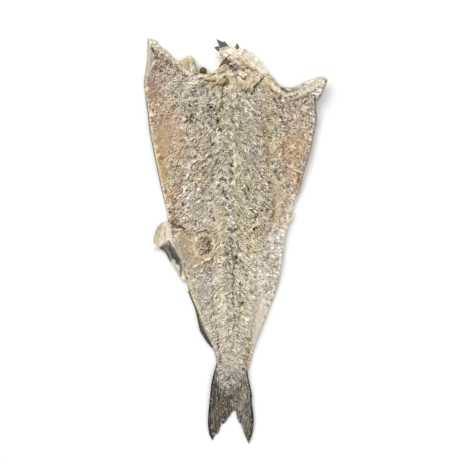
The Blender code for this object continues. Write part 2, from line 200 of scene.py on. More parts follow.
# The lit cut edge: partly its own pale colour, partly painted light.
PIT_COLOUR, LIT_CUT_EDGE_COLOUR, RIGHT_LINE_COLOUR = (122, 98, 70), (250, 245, 235), (184, 172, 162)
LATERAL_LINE_COLOUR, TAIL_SPECK_COLOUR = (150, 142, 124), (206, 198, 184)
SALT_COLOUR, FLAKE_COLOUR = (246, 240, 228), (236, 222, 196)

# Named places of the flesh: pixel, radii in pixels, colour.
ZONES = [
    ("left flank, top", 156, 76, 7, 14, (166, 143, 127)),
    ("left flank, reddish", 152, 84, 4, 9, (172, 138, 118)),
    ("left flank, mauve", 170, 74, 9, 12, (165, 146, 130)),
    ("left flank, pink", 160, 108, 9, 12, (176, 142, 102)),
    ("left flank, red spot", 166, 119, 5, 4, (180, 142, 112)),
    ("left flank, tan", 166, 138, 13, 20, (190, 160, 129)),
    ("ochre strip", 162, 172, 5, 24, (198, 167, 106)),
    ("beside the ochre strip", 173, 186, 6, 20, (171, 146, 112)),
    ("ochre strip, low", 171, 214, 5, 12, (136, 98, 48)),
    ("salt patch", 186, 80, 14, 12, (162, 149, 132)),
    ("left loin, mauve", 196, 102, 13, 12, (124, 103, 83)),
    ("left loin, dark", 205, 120, 9, 14, (123, 104, 83)),
    ("left loin, upper middle", 192, 142, 10, 16, (170, 150, 122)),
    ("left loin, middle", 200, 172, 13, 18, (162, 144, 117)),
    ("left loin, pale", 190, 202, 13, 14, (186, 173, 154)),
    ("left loin, low", 204, 218, 9, 12, (178, 166, 148)),
    ("midline, top", 226, 100, 5, 24, (174, 159, 126)),
    ("centre, grey", 246, 112, 9, 24, (167, 158, 137)),
    ("centre, middle", 222, 148, 10, 20, (162, 150, 127)),
    ("midline, middle", 237, 175, 5, 26, (180, 167, 135)),
    ("right loin, middle", 252, 165, 8, 26, (168, 157, 133)),
    ("centre, low", 224, 196, 11, 14, (184, 173, 152)),
    ("right loin, low", 252, 205, 9, 18, (178, 168, 142)),
    ("right loin, bluish", 257, 157, 5, 12, (158, 152, 141)),
    ("right loin, yellow spot", 248, 168, 4, 9, (184, 172, 137)),
    ("right ridge", 268, 118, 4, 34, (164, 149, 118)),
    ("right ridge, low", 270, 178, 5, 30, (178, 161, 127)),
    ("right flank, mauve", 290, 100, 9, 10, (174, 158, 142)),
    ("right flank, dark", 308, 104, 8, 10, (168, 152, 136)),
    ("right flank, top", 292, 122, 10, 12, (186, 168, 148)),
    ("right flank, orange", 293, 148, 9, 28, (183, 149, 112)),
    ("right flank, low", 284, 204, 8, 18, (202, 184, 162)),
    ("right edge, low", 276, 245, 9, 18, (232, 221, 204)),
    ("flank by the front fin", 182, 240, 7, 18, (187, 165, 137)),
    ("below the front fin", 186, 264, 7, 12, (183, 166, 144)),
    ("round the pit", 206, 246, 14, 16, (184, 160, 122)),
    ("middle, yellow", 219, 224, 6, 16, (194, 180, 148)),
    ("middle", 234, 250, 8, 22, (168, 156, 134)),
    ("right loin, yellow", 250, 242, 9, 16, (184, 170, 134)),
    ("right loin, pink", 266, 250, 6, 20, (194, 182, 164)),
    ("lower left, mauve", 202, 296, 9, 28, (189, 178, 162)),
    ("lower left rim", 190, 296, 4, 24, (200, 184, 158)),
    ("lower left band", 219, 290, 6, 44, (212, 200, 177)),
    ("lower midline", 234, 300, 5, 44, (192, 180, 161)),
    ("lower right band", 246, 295, 5, 40, (208, 196, 170)),
    ("lower right", 260, 282, 8, 28, (216, 204, 189)),
    ("lower right, smooth", 259, 328, 5, 22, (218, 204, 186)),
    ("above the tail", 232, 350, 14, 14, (198, 186, 167)),
    ("red streak", 248, 357, 5, 13, (184, 158, 132)),
    ("tongue", 229, 381, 12, 9, (148, 143, 136)),
    ("tongue, upper", 231, 371, 11, 5, (160, 153, 143)),
    ("collar bump", 186, 60, 8, 7, (220, 199, 158)),
    ("green spot", 197, 74, 3, 3, (170, 172, 140)),
    ("collar folds, left", 212, 80, 14, 5, (225, 208, 173)),
    ("collar folds, right", 252, 78, 14, 8, (229, 212, 177)),
    ("right spike", 314, 84, 14, 7, (231, 220, 209)),
    ("left spike", 152, 48, 8, 10, (223, 213, 191)),
]
# Colours that several strokes share.
YELLOW, OLIVE, DARK = (212, 198, 160), (136, 120, 90), (122, 104, 78)
WHITE, PALE, MAUVE, TAN = (242, 235, 218), (214, 206, 188), (166, 152, 142), (188, 165, 136)
ORANGE, BROWN, UMBER, CREST_COLOUR = (162, 122, 90), (144, 114, 80), (100, 83, 64), (228, 218, 196)
# Strokes, which are single folds, torn crests, cracks and stains, with painted light and shade among them:
# pale crests carry painted highlight, and dark strokes beside folds, in cracks and under flaps are painted
# shadow. Each gives pixels along it, half width in pixels, height in millimetres, colour and share of that
# colour.
STROKES = [
    ([(215, 370), (219, 379), (225, 387)], 1.0, 0.3, (204, 199, 192), 0.8),
    ([(222, 372), (224, 380), (229, 388)], 0.8, 0.3, (200, 195, 186), 0.7),
    ([(231, 388), (237, 382), (244, 378)], 0.9, 0.3, (206, 200, 192), 0.7),
    ([(228, 376), (232, 384)], 0.8, -0.3, (104, 97, 90), 0.7),
    # Two pale crests with painted highlight, each followed by a dark stroke of painted shadow beside it.
    ([(188, 166), (196, 161), (207, 157), (216, 153)], 1.0, 1.3, (222, 209, 182), 0.8),
    ([(203, 163), (209, 158), (215, 155)], 2.0, -1.4, OLIVE, 0.8),
    ([(197, 184), (202, 175), (207, 166), (211, 161)], 0.9, 1.3, (222, 209, 182), 0.85),
    ([(203, 175), (208, 168), (212, 165)], 2.4, -1.4, (146, 126, 92), 0.85),
    ([(236, 152), (235, 159), (236, 166), (233, 171), (236, 178), (234, 186)], 0.9, 1.8,
     (230, 218, 184), 0.95),
    ([(274, 178), (276, 190), (278, 205), (279, 216)], 3.2, 1.4, YELLOW, 0.8),
    ([(264, 208), (258, 214), (254, 221), (251, 229)], 0.8, -1.2, (112, 92, 62), 0.9),
    ([(252, 238), (256, 246), (250, 256)], 2.6, 1.2, YELLOW, 0.7),
    ([(215, 212), (217, 224), (221, 234)], 3.8, 0.8, (212, 198, 166), 0.8),
    ([(228, 228), (233, 232), (237, 230)], 1.7, -2.2, DARK, 0.8),
    ([(197, 238), (194, 246), (197, 254), (203, 259)], 2.4, 1.4, (214, 196, 156), 0.85),
    ([(202, 233), (211, 236), (215, 243), (214, 252)], 1.5, 1.8, (216, 200, 164), 0.8),
    ([(206, 231), (211, 234)], 1.8, -2.2, (110, 92, 66), 0.9),
    ([(199, 260), (208, 258), (217, 252)], 2.4, 0.5, (206, 184, 140), 0.75),
    ([(191, 269), (201, 263), (212, 257)], 0.8, 1.6, (230, 214, 178), 0.9),
    ([(188, 256), (200, 258)], 4.0, 0.0, (190, 166, 128), 0.6),
    ([(241, 305), (244, 301)], 1.3, -2.4, (80, 66, 42), 0.9),
    ([(239, 312), (242, 307)], 1.6, 1.0, (212, 196, 146), 0.7),
    ([(220, 275), (222, 305), (225, 340)], 3.2, 0.9, (226, 215, 188), 0.6),
    ([(250, 268), (250, 298), (246, 335)], 3.0, 0.9, (224, 212, 182), 0.6),
    ([(234, 268), (233, 292), (235, 318), (233, 345)], 1.1, -1.0, (128, 114, 92), 0.5),
    ([(263, 300), (261, 315), (258, 330), (254, 347)], 3.8, 0.3, (228, 214, 196), 0.9),
    ([(256, 304), (253, 320), (250, 335)], 0.9, 0.8, (226, 214, 192), 0.6),
    ([(268, 300), (264, 315), (260, 330), (257, 345)], 1.2, 0.3, (230, 220, 198), 0.8),
    ([(250, 345), (248, 357), (247, 368)], 2.8, -0.2, (176, 146, 120), 0.7),
    ([(221, 354), (222, 364)], 1.7, -2.4, (118, 92, 58), 0.9),
    ([(218, 335), (219, 350), (221, 356)], 1.0, -1.0, (118, 102, 82), 0.7),
    ([(186, 270), (192, 290), (200, 312), (210, 332), (215, 350)], 1.8, 0.5, (224, 210, 180), 0.7),
    ([(166, 159), (171, 170), (168, 178)], 0.7, 0.7, (224, 204, 160), 0.8),
    ([(169, 208), (171, 218), (175, 225), (183, 228), (188, 234)], 1.0, -1.4, (106, 84, 58), 0.9),
    ([(152, 45), (160, 52), (170, 60), (181, 69), (192, 76)], 3.4, 2.2, (208, 194, 154), 0.8),
    ([(178, 63), (184, 60), (189, 63)], 2.6, 0.5, (218, 186, 130), 0.7),
    ([(152, 49), (157, 57), (155, 65)], 1.3, -1.4, (104, 92, 86), 0.8),
    ([(157, 60), (154, 66), (151, 72)], 0.8, 0.9, (224, 208, 176), 0.8),
    ([(200, 78), (208, 80), (216, 78), (226, 76)], 2.2, 2.6, (212, 195, 158), 0.8),
    ([(206, 87), (214, 85), (224, 82)], 1.5, 2.0, (218, 204, 172), 0.8),
    ([(207, 83), (216, 82)], 1.3, -1.8, (158, 132, 92), 0.9),
    ([(243, 80), (247, 78)], 1.5, -1.8, (172, 146, 96), 0.9),
    ([(262, 75), (268, 84), (276, 92), (286, 97)], 1.9, 2.2, (220, 200, 156), 0.8),
    ([(286, 97), (298, 95), (310, 91), (324, 83)], 2.8, 1.6, (228, 212, 180), 0.8),
    ([(252, 160), (257, 166), (262, 172)], 0.9, -1.2, (116, 106, 84), 0.7),
    ([(292, 150), (284, 156), (291, 160)], 0.8, 0.8, (224, 196, 164), 0.6),
    ([(183, 168), (184, 178)], 2.4, -0.6, (160, 128, 110), 0.5),
    ([(148, 40), (149, 55), (149, 70), (147, 88)], 2.6, 0.4, (214, 208, 198), 0.85),
    ([(158, 58), (154, 66), (151, 74)], 0.7, 0.6, (216, 200, 172), 0.8),
    ([(152, 42), (163, 50), (172, 55), (178, 62)], 2.0, 0.8, (220, 213, 194), 0.85),
    ([(154, 51), (164, 58), (175, 66), (184, 73)], 0.7, -1.6, (140, 118, 86), 0.8),
    ([(156, 55), (160, 60), (164, 60)], 1.9, -1.4, (106, 88, 82), 0.85),
    ([(166, 62), (174, 68), (182, 74), (190, 79)], 1.2, -1.2, (120, 106, 92), 0.6),
    ([(193, 66), (195, 72), (196, 78)], 1.5, 0.6, (190, 180, 150), 0.7),
    ([(205, 73), (213, 70), (219, 65), (223, 61)], 1.5, -0.6, (128, 98, 64), 0.85),
    ([(200, 79), (206, 82), (211, 80)], 1.1, -1.8, (124, 98, 64), 0.85),
    ([(214, 88), (222, 86), (230, 83)], 0.8, -1.6, (120, 98, 68), 0.85),
    ([(208, 74), (218, 72), (226, 70)], 1.7, 1.8, (206, 184, 146), 0.8),
    ([(222, 77), (229, 74), (235, 78)], 1.4, 1.6, (204, 190, 160), 0.8),
    ([(230, 80), (232, 86), (231, 92)], 1.3, 1.6, (210, 194, 158), 0.7),
    ([(250, 72), (251, 80), (248, 90)], 1.8, 2.0, (216, 200, 164), 0.8),
    ([(256, 70), (260, 80), (258, 88)], 1.6, 1.8, (212, 198, 164), 0.7),
    ([(266, 76), (273, 80), (280, 88)], 1.6, 1.4, (204, 178, 158), 0.7),
    ([(282, 88), (286, 92), (291, 96)], 0.9, -1.2, (120, 96, 76), 0.8),
    ([(296, 100), (308, 96), (320, 88)], 1.0, -1.0, (150, 134, 112), 0.6),
    ([(219, 47), (224, 50)], 3.0, 0.0, (176, 172, 146), 0.7),
    ([(222, 49), (224, 52)], 1.3, -0.6, (140, 126, 76), 0.8),
    ([(216, 55), (222, 57)], 2.4, 0.4, (206, 174, 130), 0.8),
    # Painted shadow in the gap under the nape.
    ([(230, 55), (226, 60), (222, 65)], 1.5, -2.2, (80, 60, 40), 0.95),
    ([(243, 54), (250, 60)], 3.4, 0.4, (220, 216, 204), 0.8),
    ([(227, 53), (240, 60), (252, 68), (261, 79)], 1.0, 1.4, (228, 214, 184), 0.8),
    ([(231, 57), (242, 65), (251, 73)], 1.0, 1.2, (216, 200, 168), 0.8),
    ([(236, 51), (248, 59), (258, 69)], 1.0, 1.2, (226, 218, 198), 0.7),
    ([(229, 56), (241, 63), (250, 70)], 0.7, -1.4, (146, 118, 84), 0.8),
    ([(233, 54), (245, 61), (256, 71)], 0.7, -1.2, (168, 144, 112), 0.7),
    ([(229, 66), (233, 69), (238, 73)], 3.6, -1.4, (138, 124, 116), 0.85),
    ([(226, 63), (230, 66)], 1.6, -1.4, (104, 90, 78), 0.8),
    ([(246, 73), (251, 75)], 2.6, 1.0, (222, 190, 170), 0.9),
    ([(242, 66), (248, 70)], 1.1, -1.8, (96, 70, 44), 0.9),
    ([(164, 202), (166, 212), (169, 222), (174, 227), (181, 228)], 1.2, -2.4, (100, 74, 48), 0.95),
    ([(163, 226), (160, 236), (158, 245)], 2.8, 0.6, (208, 192, 152), 0.85),
    ([(169, 221), (161, 223), (156.5, 231), (155, 241)], 0.9, 0.3, (148, 146, 134), 0.8),
    ([(168, 222), (170, 232), (175, 245), (181, 262), (184, 274)], 2.2, 1.4, (216, 208, 196), 0.9),
    ([(165, 226), (166, 233), (165, 240)], 0.8, -0.9, (150, 140, 116), 0.8),
    ([(163, 224), (157, 229), (155, 237), (154, 244)], 1.0, 0.0, (140, 136, 120), 0.7),
    ([(161, 229), (160, 236), (158, 243)], 0.7, -0.5, (184, 172, 140), 0.7),
    ([(167, 242), (171, 250), (175, 258)], 1.3, 0.4, (168, 162, 154), 0.75),
    ([(171, 226), (174, 236), (179, 250)], 0.9, -0.9, (168, 148, 122), 0.7),
    ([(161, 227), (158, 234), (157, 242)], 0.7, -0.8, (166, 156, 128), 0.7),
    ([(160, 248), (166, 248), (173, 255), (178, 262)], 4.2, -1.2, (84, 76, 64), 1.0),
    ([(169, 241), (171, 250), (176, 259)], 2.6, -1.0, (88, 80, 68), 1.0),
    ([(168, 241), (169, 250), (171, 257)], 0.6, 0.5, (176, 170, 156), 0.7),
    ([(165, 247), (168, 254)], 0.5, 0.5, (160, 154, 140), 0.7),
    ([(172, 247), (175, 255)], 0.5, 0.5, (170, 162, 148), 0.7),
    ([(170, 259), (174, 266), (178, 273), (182, 280)], 2.2, 0.5, (204, 200, 188), 0.95),
    ([(179, 262), (181, 269), (182, 277)], 1.5, -1.0, (60, 54, 46), 0.95),
    ([(175, 263), (178, 270)], 0.6, -0.4, (150, 146, 136), 0.7),
    ([(184, 90), (190, 87), (198, 83)], 2.0, 1.2, PALE, 0.8),
    ([(186, 99), (191, 95), (194, 100)], 2.6, -1.2, (122, 104, 92), 0.8),
    ([(203, 92), (205, 98), (203, 104), (198, 107)], 2.8, 0.5, (194, 194, 178), 0.7),
    ([(209, 98), (211, 92), (217, 92), (219, 98), (215, 102)], 1.5, 1.0, (212, 199, 166), 0.8),
    ([(214, 95), (215, 97)], 1.6, -0.8, BROWN, 0.9),
    ([(226, 82), (222, 92), (222, 100), (223, 110)], 1.3, -1.4, (122, 104, 70), 0.85),
    ([(223, 113), (228, 106), (236, 104), (243, 108)], 1.5, 0.8, (200, 192, 172), 0.6),
    ([(230, 110), (235, 108), (240, 110)], 1.5, -0.6, (148, 140, 124), 0.6),
    ([(203, 110), (206, 112), (209, 111)], 1.2, -1.4, UMBER, 0.9),
    ([(190, 116), (194, 119), (199, 122), (203, 126)], 0.9, -1.2, UMBER, 0.85),
    ([(184, 124), (189, 120), (187, 118)], 1.2, -1.2, UMBER, 0.8),
    ([(210, 142), (214, 144), (211, 149)], 1.5, -1.2, DARK, 0.8),
    ([(232, 142), (237, 141), (239, 145), (236, 147)], 1.0, -1.2, UMBER, 0.8),
    ([(219, 129), (221, 134)], 1.0, -1.0, DARK, 0.8),
    ([(228, 116), (229, 128)], 5.0, 0.0, (178, 165, 132), 0.5),
    ([(243, 84), (250, 86), (252, 91)], 4.0, 1.2, (198, 180, 144), 0.8),
    ([(241, 79), (247, 81)], 1.4, -1.4, (158, 124, 78), 0.9),
    # Next two: painted shadow along the lower margin of a flap and under its edge.
    ([(241, 91), (247, 93), (254, 95)], 1.0, -1.4, BROWN, 0.8),
    ([(252, 95), (256, 88), (259, 84), (264, 78)], 1.0, -2.4, (84, 68, 46), 0.95),
    ([(258, 89), (262, 88), (265, 91)], 0.9, -0.9, UMBER, 0.7),
    ([(266, 84), (269, 92)], 4.0, 0.6, TAN, 0.7),
    ([(270, 80), (276, 90), (286, 97), (296, 94)], 1.4, 1.4, (234, 222, 192), 0.9),
    ([(272, 93), (278, 95)], 1.8, 0.0, (206, 186, 124), 0.7),
    ([(276, 83), (280, 88), (283, 91)], 0.9, -1.2, UMBER, 0.85),
    ([(289, 98), (292, 97)], 1.4, -1.0, (142, 104, 72), 0.85),
    ([(293, 97), (297, 95)], 1.2, -1.0, (130, 100, 76), 0.8),
    ([(246, 100), (252, 106)], 0.8, -0.8, OLIVE, 0.7),
    ([(252, 113), (256, 116), (260, 116)], 1.3, -1.2, (112, 106, 76), 0.85),
    ([(256, 110), (262, 113)], 0.9, -1.0, OLIVE, 0.8),
    ([(261, 100), (263, 118), (266, 142), (268, 166)], 3.0, -0.2, (160, 139, 106), 0.75),
    ([(264, 128), (266, 138), (265, 148)], 2.8, -0.4, (150, 128, 92), 0.7),
    ([(270, 96), (271, 112), (273, 124), (275, 138), (274, 150)], 1.8, 0.9, (198, 184, 142), 0.7),
    ([(273, 126), (274, 136)], 2.0, 0.3, (164, 158, 130), 0.6),
    ([(279, 109), (283, 108), (282, 112)], 1.3, -1.4, UMBER, 0.85),
    ([(278, 116), (283, 118), (284, 121)], 1.1, -1.2, UMBER, 0.85),
    ([(284, 126), (288, 123), (293, 120)], 1.0, -1.0, DARK, 0.8),
    ([(286, 126), (292, 123), (296, 124)], 1.3, 0.6, (210, 194, 176), 0.6),
    ([(272, 98), (275, 100), (273, 102)], 1.2, -1.2, UMBER, 0.8),
    ([(172, 96), (169, 101), (165, 107), (162, 110)], 1.1, 0.9, (200, 180, 158), 0.7),
    ([(160, 96), (163, 98), (166, 101)], 2.2, -0.8, (138, 106, 82), 0.7),
    ([(161, 117), (165, 120), (168, 120)], 2.0, -0.2, ORANGE, 0.7),
    ([(175, 90), (181, 94)], 3.4, 0.4, (172, 165, 148), 0.7),
    ([(148, 80), (150, 86), (150, 91)], 1.8, -0.2, (158, 116, 96), 0.7),
    ([(181, 141), (185, 142), (187, 141)], 1.4, -0.6, ORANGE, 0.8),
    ([(184, 134), (188, 132)], 2.0, -0.3, ORANGE, 0.6),
    ([(180, 140), (184, 138), (188, 139)], 1.0, 0.8, (228, 206, 178), 0.8),
    ([(181, 129), (186, 127)], 1.0, 0.8, (228, 210, 186), 0.7),
    ([(275, 171), (278, 177), (280, 181)], 0.9, -1.2, UMBER, 0.85),
    ([(269, 188), (271, 190), (269, 193)], 1.2, -1.2, UMBER, 0.8),
    ([(275, 200), (276, 204)], 1.8, 0.0, (160, 158, 128), 0.7),
    ([(300, 166), (298, 178), (296, 188), (291, 196)], 1.0, -0.4, BROWN, 0.5),
    ([(306, 150), (304, 165), (302, 180), (298, 190), (293, 204)], 1.8, 0.2, (172, 158, 148), 0.8),
    ([(270, 206), (272, 209)], 1.2, -1.0, BROWN, 0.8),
    ([(232, 165), (234, 168)], 1.3, -1.6, (96, 84, 56), 0.9),
    ([(231, 171), (232, 175)], 1.6, -1.6, (120, 104, 66), 0.9),
    ([(230, 179), (232, 183)], 1.5, -1.4, (112, 98, 68), 0.9),
    ([(212, 158), (217, 155)], 1.8, -1.2, (128, 112, 84), 0.8),
    ([(206, 178), (212, 175), (218, 175)], 1.2, -1.2, (104, 94, 78), 0.85),
    ([(219, 181), (223, 179), (227, 182)], 1.1, -1.3, (112, 100, 80), 0.8),
    ([(219, 184), (224, 184), (227, 188)], 1.2, 1.2, (222, 212, 194), 0.8),
    ([(217, 187), (215, 194), (220, 199)], 3.6, 0.4, (196, 194, 178), 0.7),
    ([(223, 190), (226, 195), (228, 200)], 1.8, -1.4, (132, 118, 98), 0.75),
    ([(204, 196), (206, 190), (212, 189)], 2.2, 0.3, (176, 160, 146), 0.6),
    ([(209, 196), (212, 193)], 1.4, -0.5, (140, 124, 110), 0.6),
    ([(209, 208), (216, 208), (221, 211)], 3.2, 0.6, (214, 202, 172), 0.7),
    ([(229, 205), (233, 207)], 2.2, -1.6, (112, 96, 72), 0.85),
    ([(235, 201), (241, 201)], 3.0, 0.4, (204, 192, 152), 0.6),
    ([(214, 217), (215, 222)], 1.8, -1.2, (128, 104, 78), 0.85),
    ([(225, 216), (229, 215)], 1.6, -1.2, (120, 100, 72), 0.8),
    ([(190, 203), (196, 208), (200, 214)], 5.0, 0.2, (196, 186, 172), 0.5),
    ([(197, 154), (201, 157)], 2.0, 1.0, (236, 226, 206), 0.7),
    ([(251, 231), (254, 226), (258, 223), (261, 226)], 1.0, 1.4, (222, 208, 170), 0.85),
    ([(261, 214), (262, 222)], 3.6, 0.8, (190, 174, 142), 0.7),
    ([(252, 233), (255, 229), (259, 227)], 1.6, -1.4, (140, 108, 80), 0.85),
    ([(262, 228), (266, 234)], 3.4, 0.4, (186, 172, 126), 0.6),
    ([(266, 212), (271, 209)], 1.2, -1.2, (128, 106, 72), 0.85),
    ([(272, 206), (273, 212), (272, 218)], 1.3, -0.4, (170, 126, 78), 0.85),
    ([(276, 204), (277, 212), (275, 220)], 1.2, 1.0, (214, 200, 156), 0.8),
    ([(281, 206), (283, 214)], 2.2, 0.2, (176, 154, 142), 0.7),
    ([(284, 208), (288, 213), (287, 221), (283, 227)], 1.1, 0.9, (226, 206, 178), 0.8),
    ([(284, 216), (286, 223)], 1.6, -0.4, (170, 128, 96), 0.7),
    ([(286, 200), (289, 206)], 2.6, 0.2, (196, 162, 122), 0.6),
    ([(249, 236), (251, 239)], 1.4, -1.2, (122, 100, 80), 0.8),
    ([(250, 242), (253, 248)], 2.4, 0.4, (206, 192, 140), 0.6),
    ([(242, 256), (247, 264)], 3.6, 0.3, (206, 196, 158), 0.6),
    ([(266, 258), (268, 264)], 4.4, 0.2, (204, 188, 178), 0.5),
    ([(245, 217), (247, 222)], 2.4, -0.3, MAUVE, 0.6),
    ([(252, 203), (256, 206)], 3.4, 0.3, (172, 168, 148), 0.6),
    ([(170, 211), (172, 215), (174, 218)], 0.8, -1.2, (96, 58, 36), 0.9),
    ([(172, 214), (173, 221)], 3.0, 0.3, (196, 166, 142), 0.6),
    ([(183, 250), (188, 262)], 5.0, 0.0, (186, 164, 132), 0.4),
    ([(185, 244), (186, 247)], 1.2, 0.8, (228, 204, 180), 0.8),
    ([(204, 239), (208, 245), (208, 253)], 3.6, -1.0, (126, 100, 74), 0.8),
    ([(208, 243), (210, 250)], 1.2, -1.6, (96, 70, 44), 0.9),
    ([(232, 239), (233, 246), (232, 252)], 2.1, -1.0, (140, 124, 110), 0.75),
    ([(229, 237), (231, 239), (234, 241)], 0.9, -1.4, (108, 92, 70), 0.75),
    ([(233, 254), (235, 262), (235, 269)], 1.8, -1.6, (116, 98, 78), 0.85),
    ([(243, 241), (245, 246)], 3.0, 0.4, (192, 188, 176), 0.7),
    ([(233, 233), (238, 238)], 1.4, 0.5, (196, 196, 176), 0.6),
    ([(160, 247), (166, 251), (170, 261)], 3.0, -0.5, (70, 64, 55), 0.9),
    ([(167, 246), (173, 252), (181, 262)], 3.4, -0.5, (58, 52, 44), 0.95),
    ([(167, 243), (168, 250), (170, 258)], 0.7, 0.4, (140, 134, 122), 0.8),
    ([(170, 246), (173, 252), (177, 257)], 0.6, 0.4, (132, 126, 114), 0.8),
    ([(164, 246), (167, 250)], 0.6, 0.4, (150, 144, 132), 0.8),
    # Painted shadow in the gap under the nape.
    ([(222, 62), (226, 62), (229, 66)], 2.0, -1.4, (84, 66, 44), 0.9),
    ([(231, 68), (236, 68), (238, 72)], 3.2, -1.0, (148, 137, 130), 0.8),
    ([(238, 70), (242, 70), (245, 72)], 2.2, -0.8, (150, 140, 96), 0.8),
    ([(228, 60), (233, 59), (237, 62)], 1.2, 1.0, (224, 210, 176), 0.8),
    ([(236, 60), (244, 64), (251, 70)], 1.1, -1.0, (176, 156, 116), 0.7),
    ([(223, 46), (226, 50), (227, 53)], 2.0, 0.0, (178, 166, 120), 0.7),
    ([(218, 46), (221, 51), (221, 56)], 2.2, 0.0, (206, 204, 180), 0.8),
    ([(240, 52), (248, 56), (254, 62)], 2.4, 0.3, (226, 222, 204), 0.8),
    # Next two: painted shade below a fold.
    ([(207, 85), (216, 85), (224, 82)], 2.4, -0.4, (196, 168, 122), 0.8),
    ([(210, 86), (217, 86), (222, 84)], 0.8, -1.2, (158, 124, 82), 0.9),
    ([(243, 82), (250, 88), (249, 95)], 3.6, 0.6, (200, 182, 148), 0.8),
    ([(259, 84), (263, 90), (262, 96)], 3.0, 0.2, (184, 168, 146), 0.8),
    ([(211, 376), (215, 385), (221, 391), (227, 395)], 1.7, -0.4, (96, 88, 78), 0.9),
    ([(239, 390), (243, 384), (249, 380)], 1.7, -0.4, (92, 84, 74), 0.85),
    ([(219, 376), (224, 384), (229, 390)], 2.4, 0.3, (178, 172, 164), 0.5),
    ([(232, 386), (238, 380), (246, 376)], 2.0, 0.3, (180, 174, 166), 0.5),
    ([(166, 190), (168, 204)], 3.2, 0.0, (198, 154, 96), 0.65),
    ([(212, 285), (214, 312), (219, 338)], 1.2, -0.8, (150, 138, 120), 0.5),
    ([(228, 275), (228, 305), (229, 335)], 1.2, -0.6, (168, 154, 130), 0.5),
    ([(241, 280), (240, 310), (238, 340)], 1.0, -0.8, (140, 126, 102), 0.55),
    ([(257, 285), (255, 310), (250, 340)], 1.2, -0.6, (176, 164, 144), 0.5),
    ([(244, 66), (250, 69), (256, 72)], 0.9, -1.9, (98, 76, 50), 0.85),
    ([(256, 70), (258, 75), (256, 79)], 0.8, -1.5, (126, 102, 70), 0.8),
    ([(244, 69), (249, 66), (254, 68), (258, 72)], 0.9, 1.5, (226, 208, 168), 0.8),
    ([(222, 91), (226, 86), (230, 84)], 1.2, -1.8, (116, 104, 86), 0.85),
    ([(209, 75), (212, 77), (216, 76)], 1.2, -1.5, (120, 96, 66), 0.85),
    ([(222, 77), (227, 80), (230, 83)], 0.9, -1.5, (128, 104, 74), 0.85),
    ([(233, 76), (237, 79), (238, 84)], 0.9, -1.5, (130, 108, 78), 0.85),
    ([(239, 76), (244, 76), (247, 79)], 1.4, 1.4, (232, 214, 178), 0.8),
    ([(225, 72), (231, 75), (238, 75)], 1.0, 1.4, (226, 208, 172), 0.8),
    ([(313, 96), (316, 102), (315, 107)], 1.1, -1.2, (96, 84, 74), 0.85),
    ([(163, 160), (166, 172), (170, 188)], 3.0, 0.0, (206, 174, 112), 0.4),
    ([(146, 78), (150, 84), (152, 92)], 2.6, 0.0, (180, 136, 116), 0.45),
]
# Dark nicks, darkened as painted shade, by their two ends; thin pale crests, partly painted highlight; and
# white crumbs, all in pixels.
NICKS = [
    (210, 163, 212, 163), (219, 203, 221, 206), (228, 187, 231, 190), (210, 202, 213, 201),
    (204, 206, 206, 205), (233, 213, 236, 209), (209, 211, 212, 214), (183, 207, 187, 203),
    (264, 220, 266, 227), (282, 206, 284, 208), (252, 252, 257, 255), (183, 206, 184, 202),
    (200, 230, 203, 233), (236, 243, 240, 246), (226, 252, 230, 256), (236, 257, 237, 259),
    (233, 274, 235, 277), (190, 190, 193, 192), (188, 181, 190, 182), (250, 186, 252, 190),
    (247, 170, 250, 173), (262, 176, 264, 180), (256, 146, 259, 149), (216, 162, 219, 160),
    (223, 163, 225, 162), (237, 214, 239, 218), (226, 172, 228, 175), (209, 268, 212, 271),
    (205, 273, 207, 274), (229, 290, 231, 294), (236, 292, 238, 295), (213, 286, 215, 288),
    (240, 283, 243, 286), (250, 290, 252, 294), (277, 84, 281, 90), (314, 101, 315, 104),
    (246, 186, 251, 193), (243, 192, 251, 202), (236, 76, 242, 79), (196, 98, 199, 98),
    (196, 110, 199, 112), (212, 118, 216, 118), (211, 141, 213, 138), (284, 132, 286, 130),
    (292, 103, 296, 105), (270, 173, 272, 171), (203, 238, 206, 241), (210, 242, 212, 246),
    (209, 252, 212, 254), (269, 184, 271, 182), (283, 187, 286, 190), (286, 185, 289, 188),
]
PALE_CRESTS = [
    [(237, 153), (239, 158), (236, 161)], [(236, 166), (240, 162), (243, 158)], [(237, 177), (241, 173)],
    [(213, 164), (215, 162)], [(203, 207), (207, 203), (213, 203), (218, 207)],
    [(231, 210), (235, 206), (238, 204)], [(185, 202), (190, 195), (194, 192)],
    [(250, 268), (255, 263), (258, 258)], [(203, 241), (206, 244)], [(205, 249), (208, 252)],
    [(190, 181), (195, 178), (199, 180)], [(184, 186), (189, 181), (192, 177)], [(186, 190), (190, 188)],
    [(244, 206), (248, 211), (250, 216)], [(257, 164), (260, 169), (264, 172)],
    [(246, 176), (251, 181), (254, 186)], [(220, 256), (224, 259), (228, 258)],
    [(216, 279), (220, 282), (225, 281)], [(238, 278), (242, 282), (246, 286)],
    [(222, 298), (226, 294), (229, 291)], [(281, 149), (279, 157), (284, 165), (289, 167)],
    [(270, 172), (275, 178), (279, 186), (283, 181), (290, 177)],
    [(206, 184), (212, 172), (222, 168), (230, 176)], [(210, 188), (216, 178), (224, 175), (229, 182)],
    [(200, 124), (205, 128)], [(207, 137), (210, 132), (216, 132), (218, 138), (215, 142)],
    [(224, 144), (227, 142), (230, 143)], [(219, 137), (224, 140), (229, 138), (233, 138)],
    [(231, 86), (234, 90), (236, 87)], [(251, 92), (254, 87), (257, 83)],
    [(244, 101), (250, 107), (254, 111)], [(250, 100), (257, 107)], [(276, 118), (278, 130), (279, 141)],
    [(281, 132), (284, 134), (281, 137)], [(282, 149), (280, 154), (279, 160)], [(201, 243), (203, 247)],
    [(205, 246), (208, 248), (207, 251)], [(284, 140), (289, 136), (293, 138)],
    [(286, 150), (291, 146), (296, 149)], [(288, 158), (293, 156)], [(296, 128), (300, 124)],
    [(290, 168), (294, 164)], [(291, 132), (295, 131), (297, 135)],
]
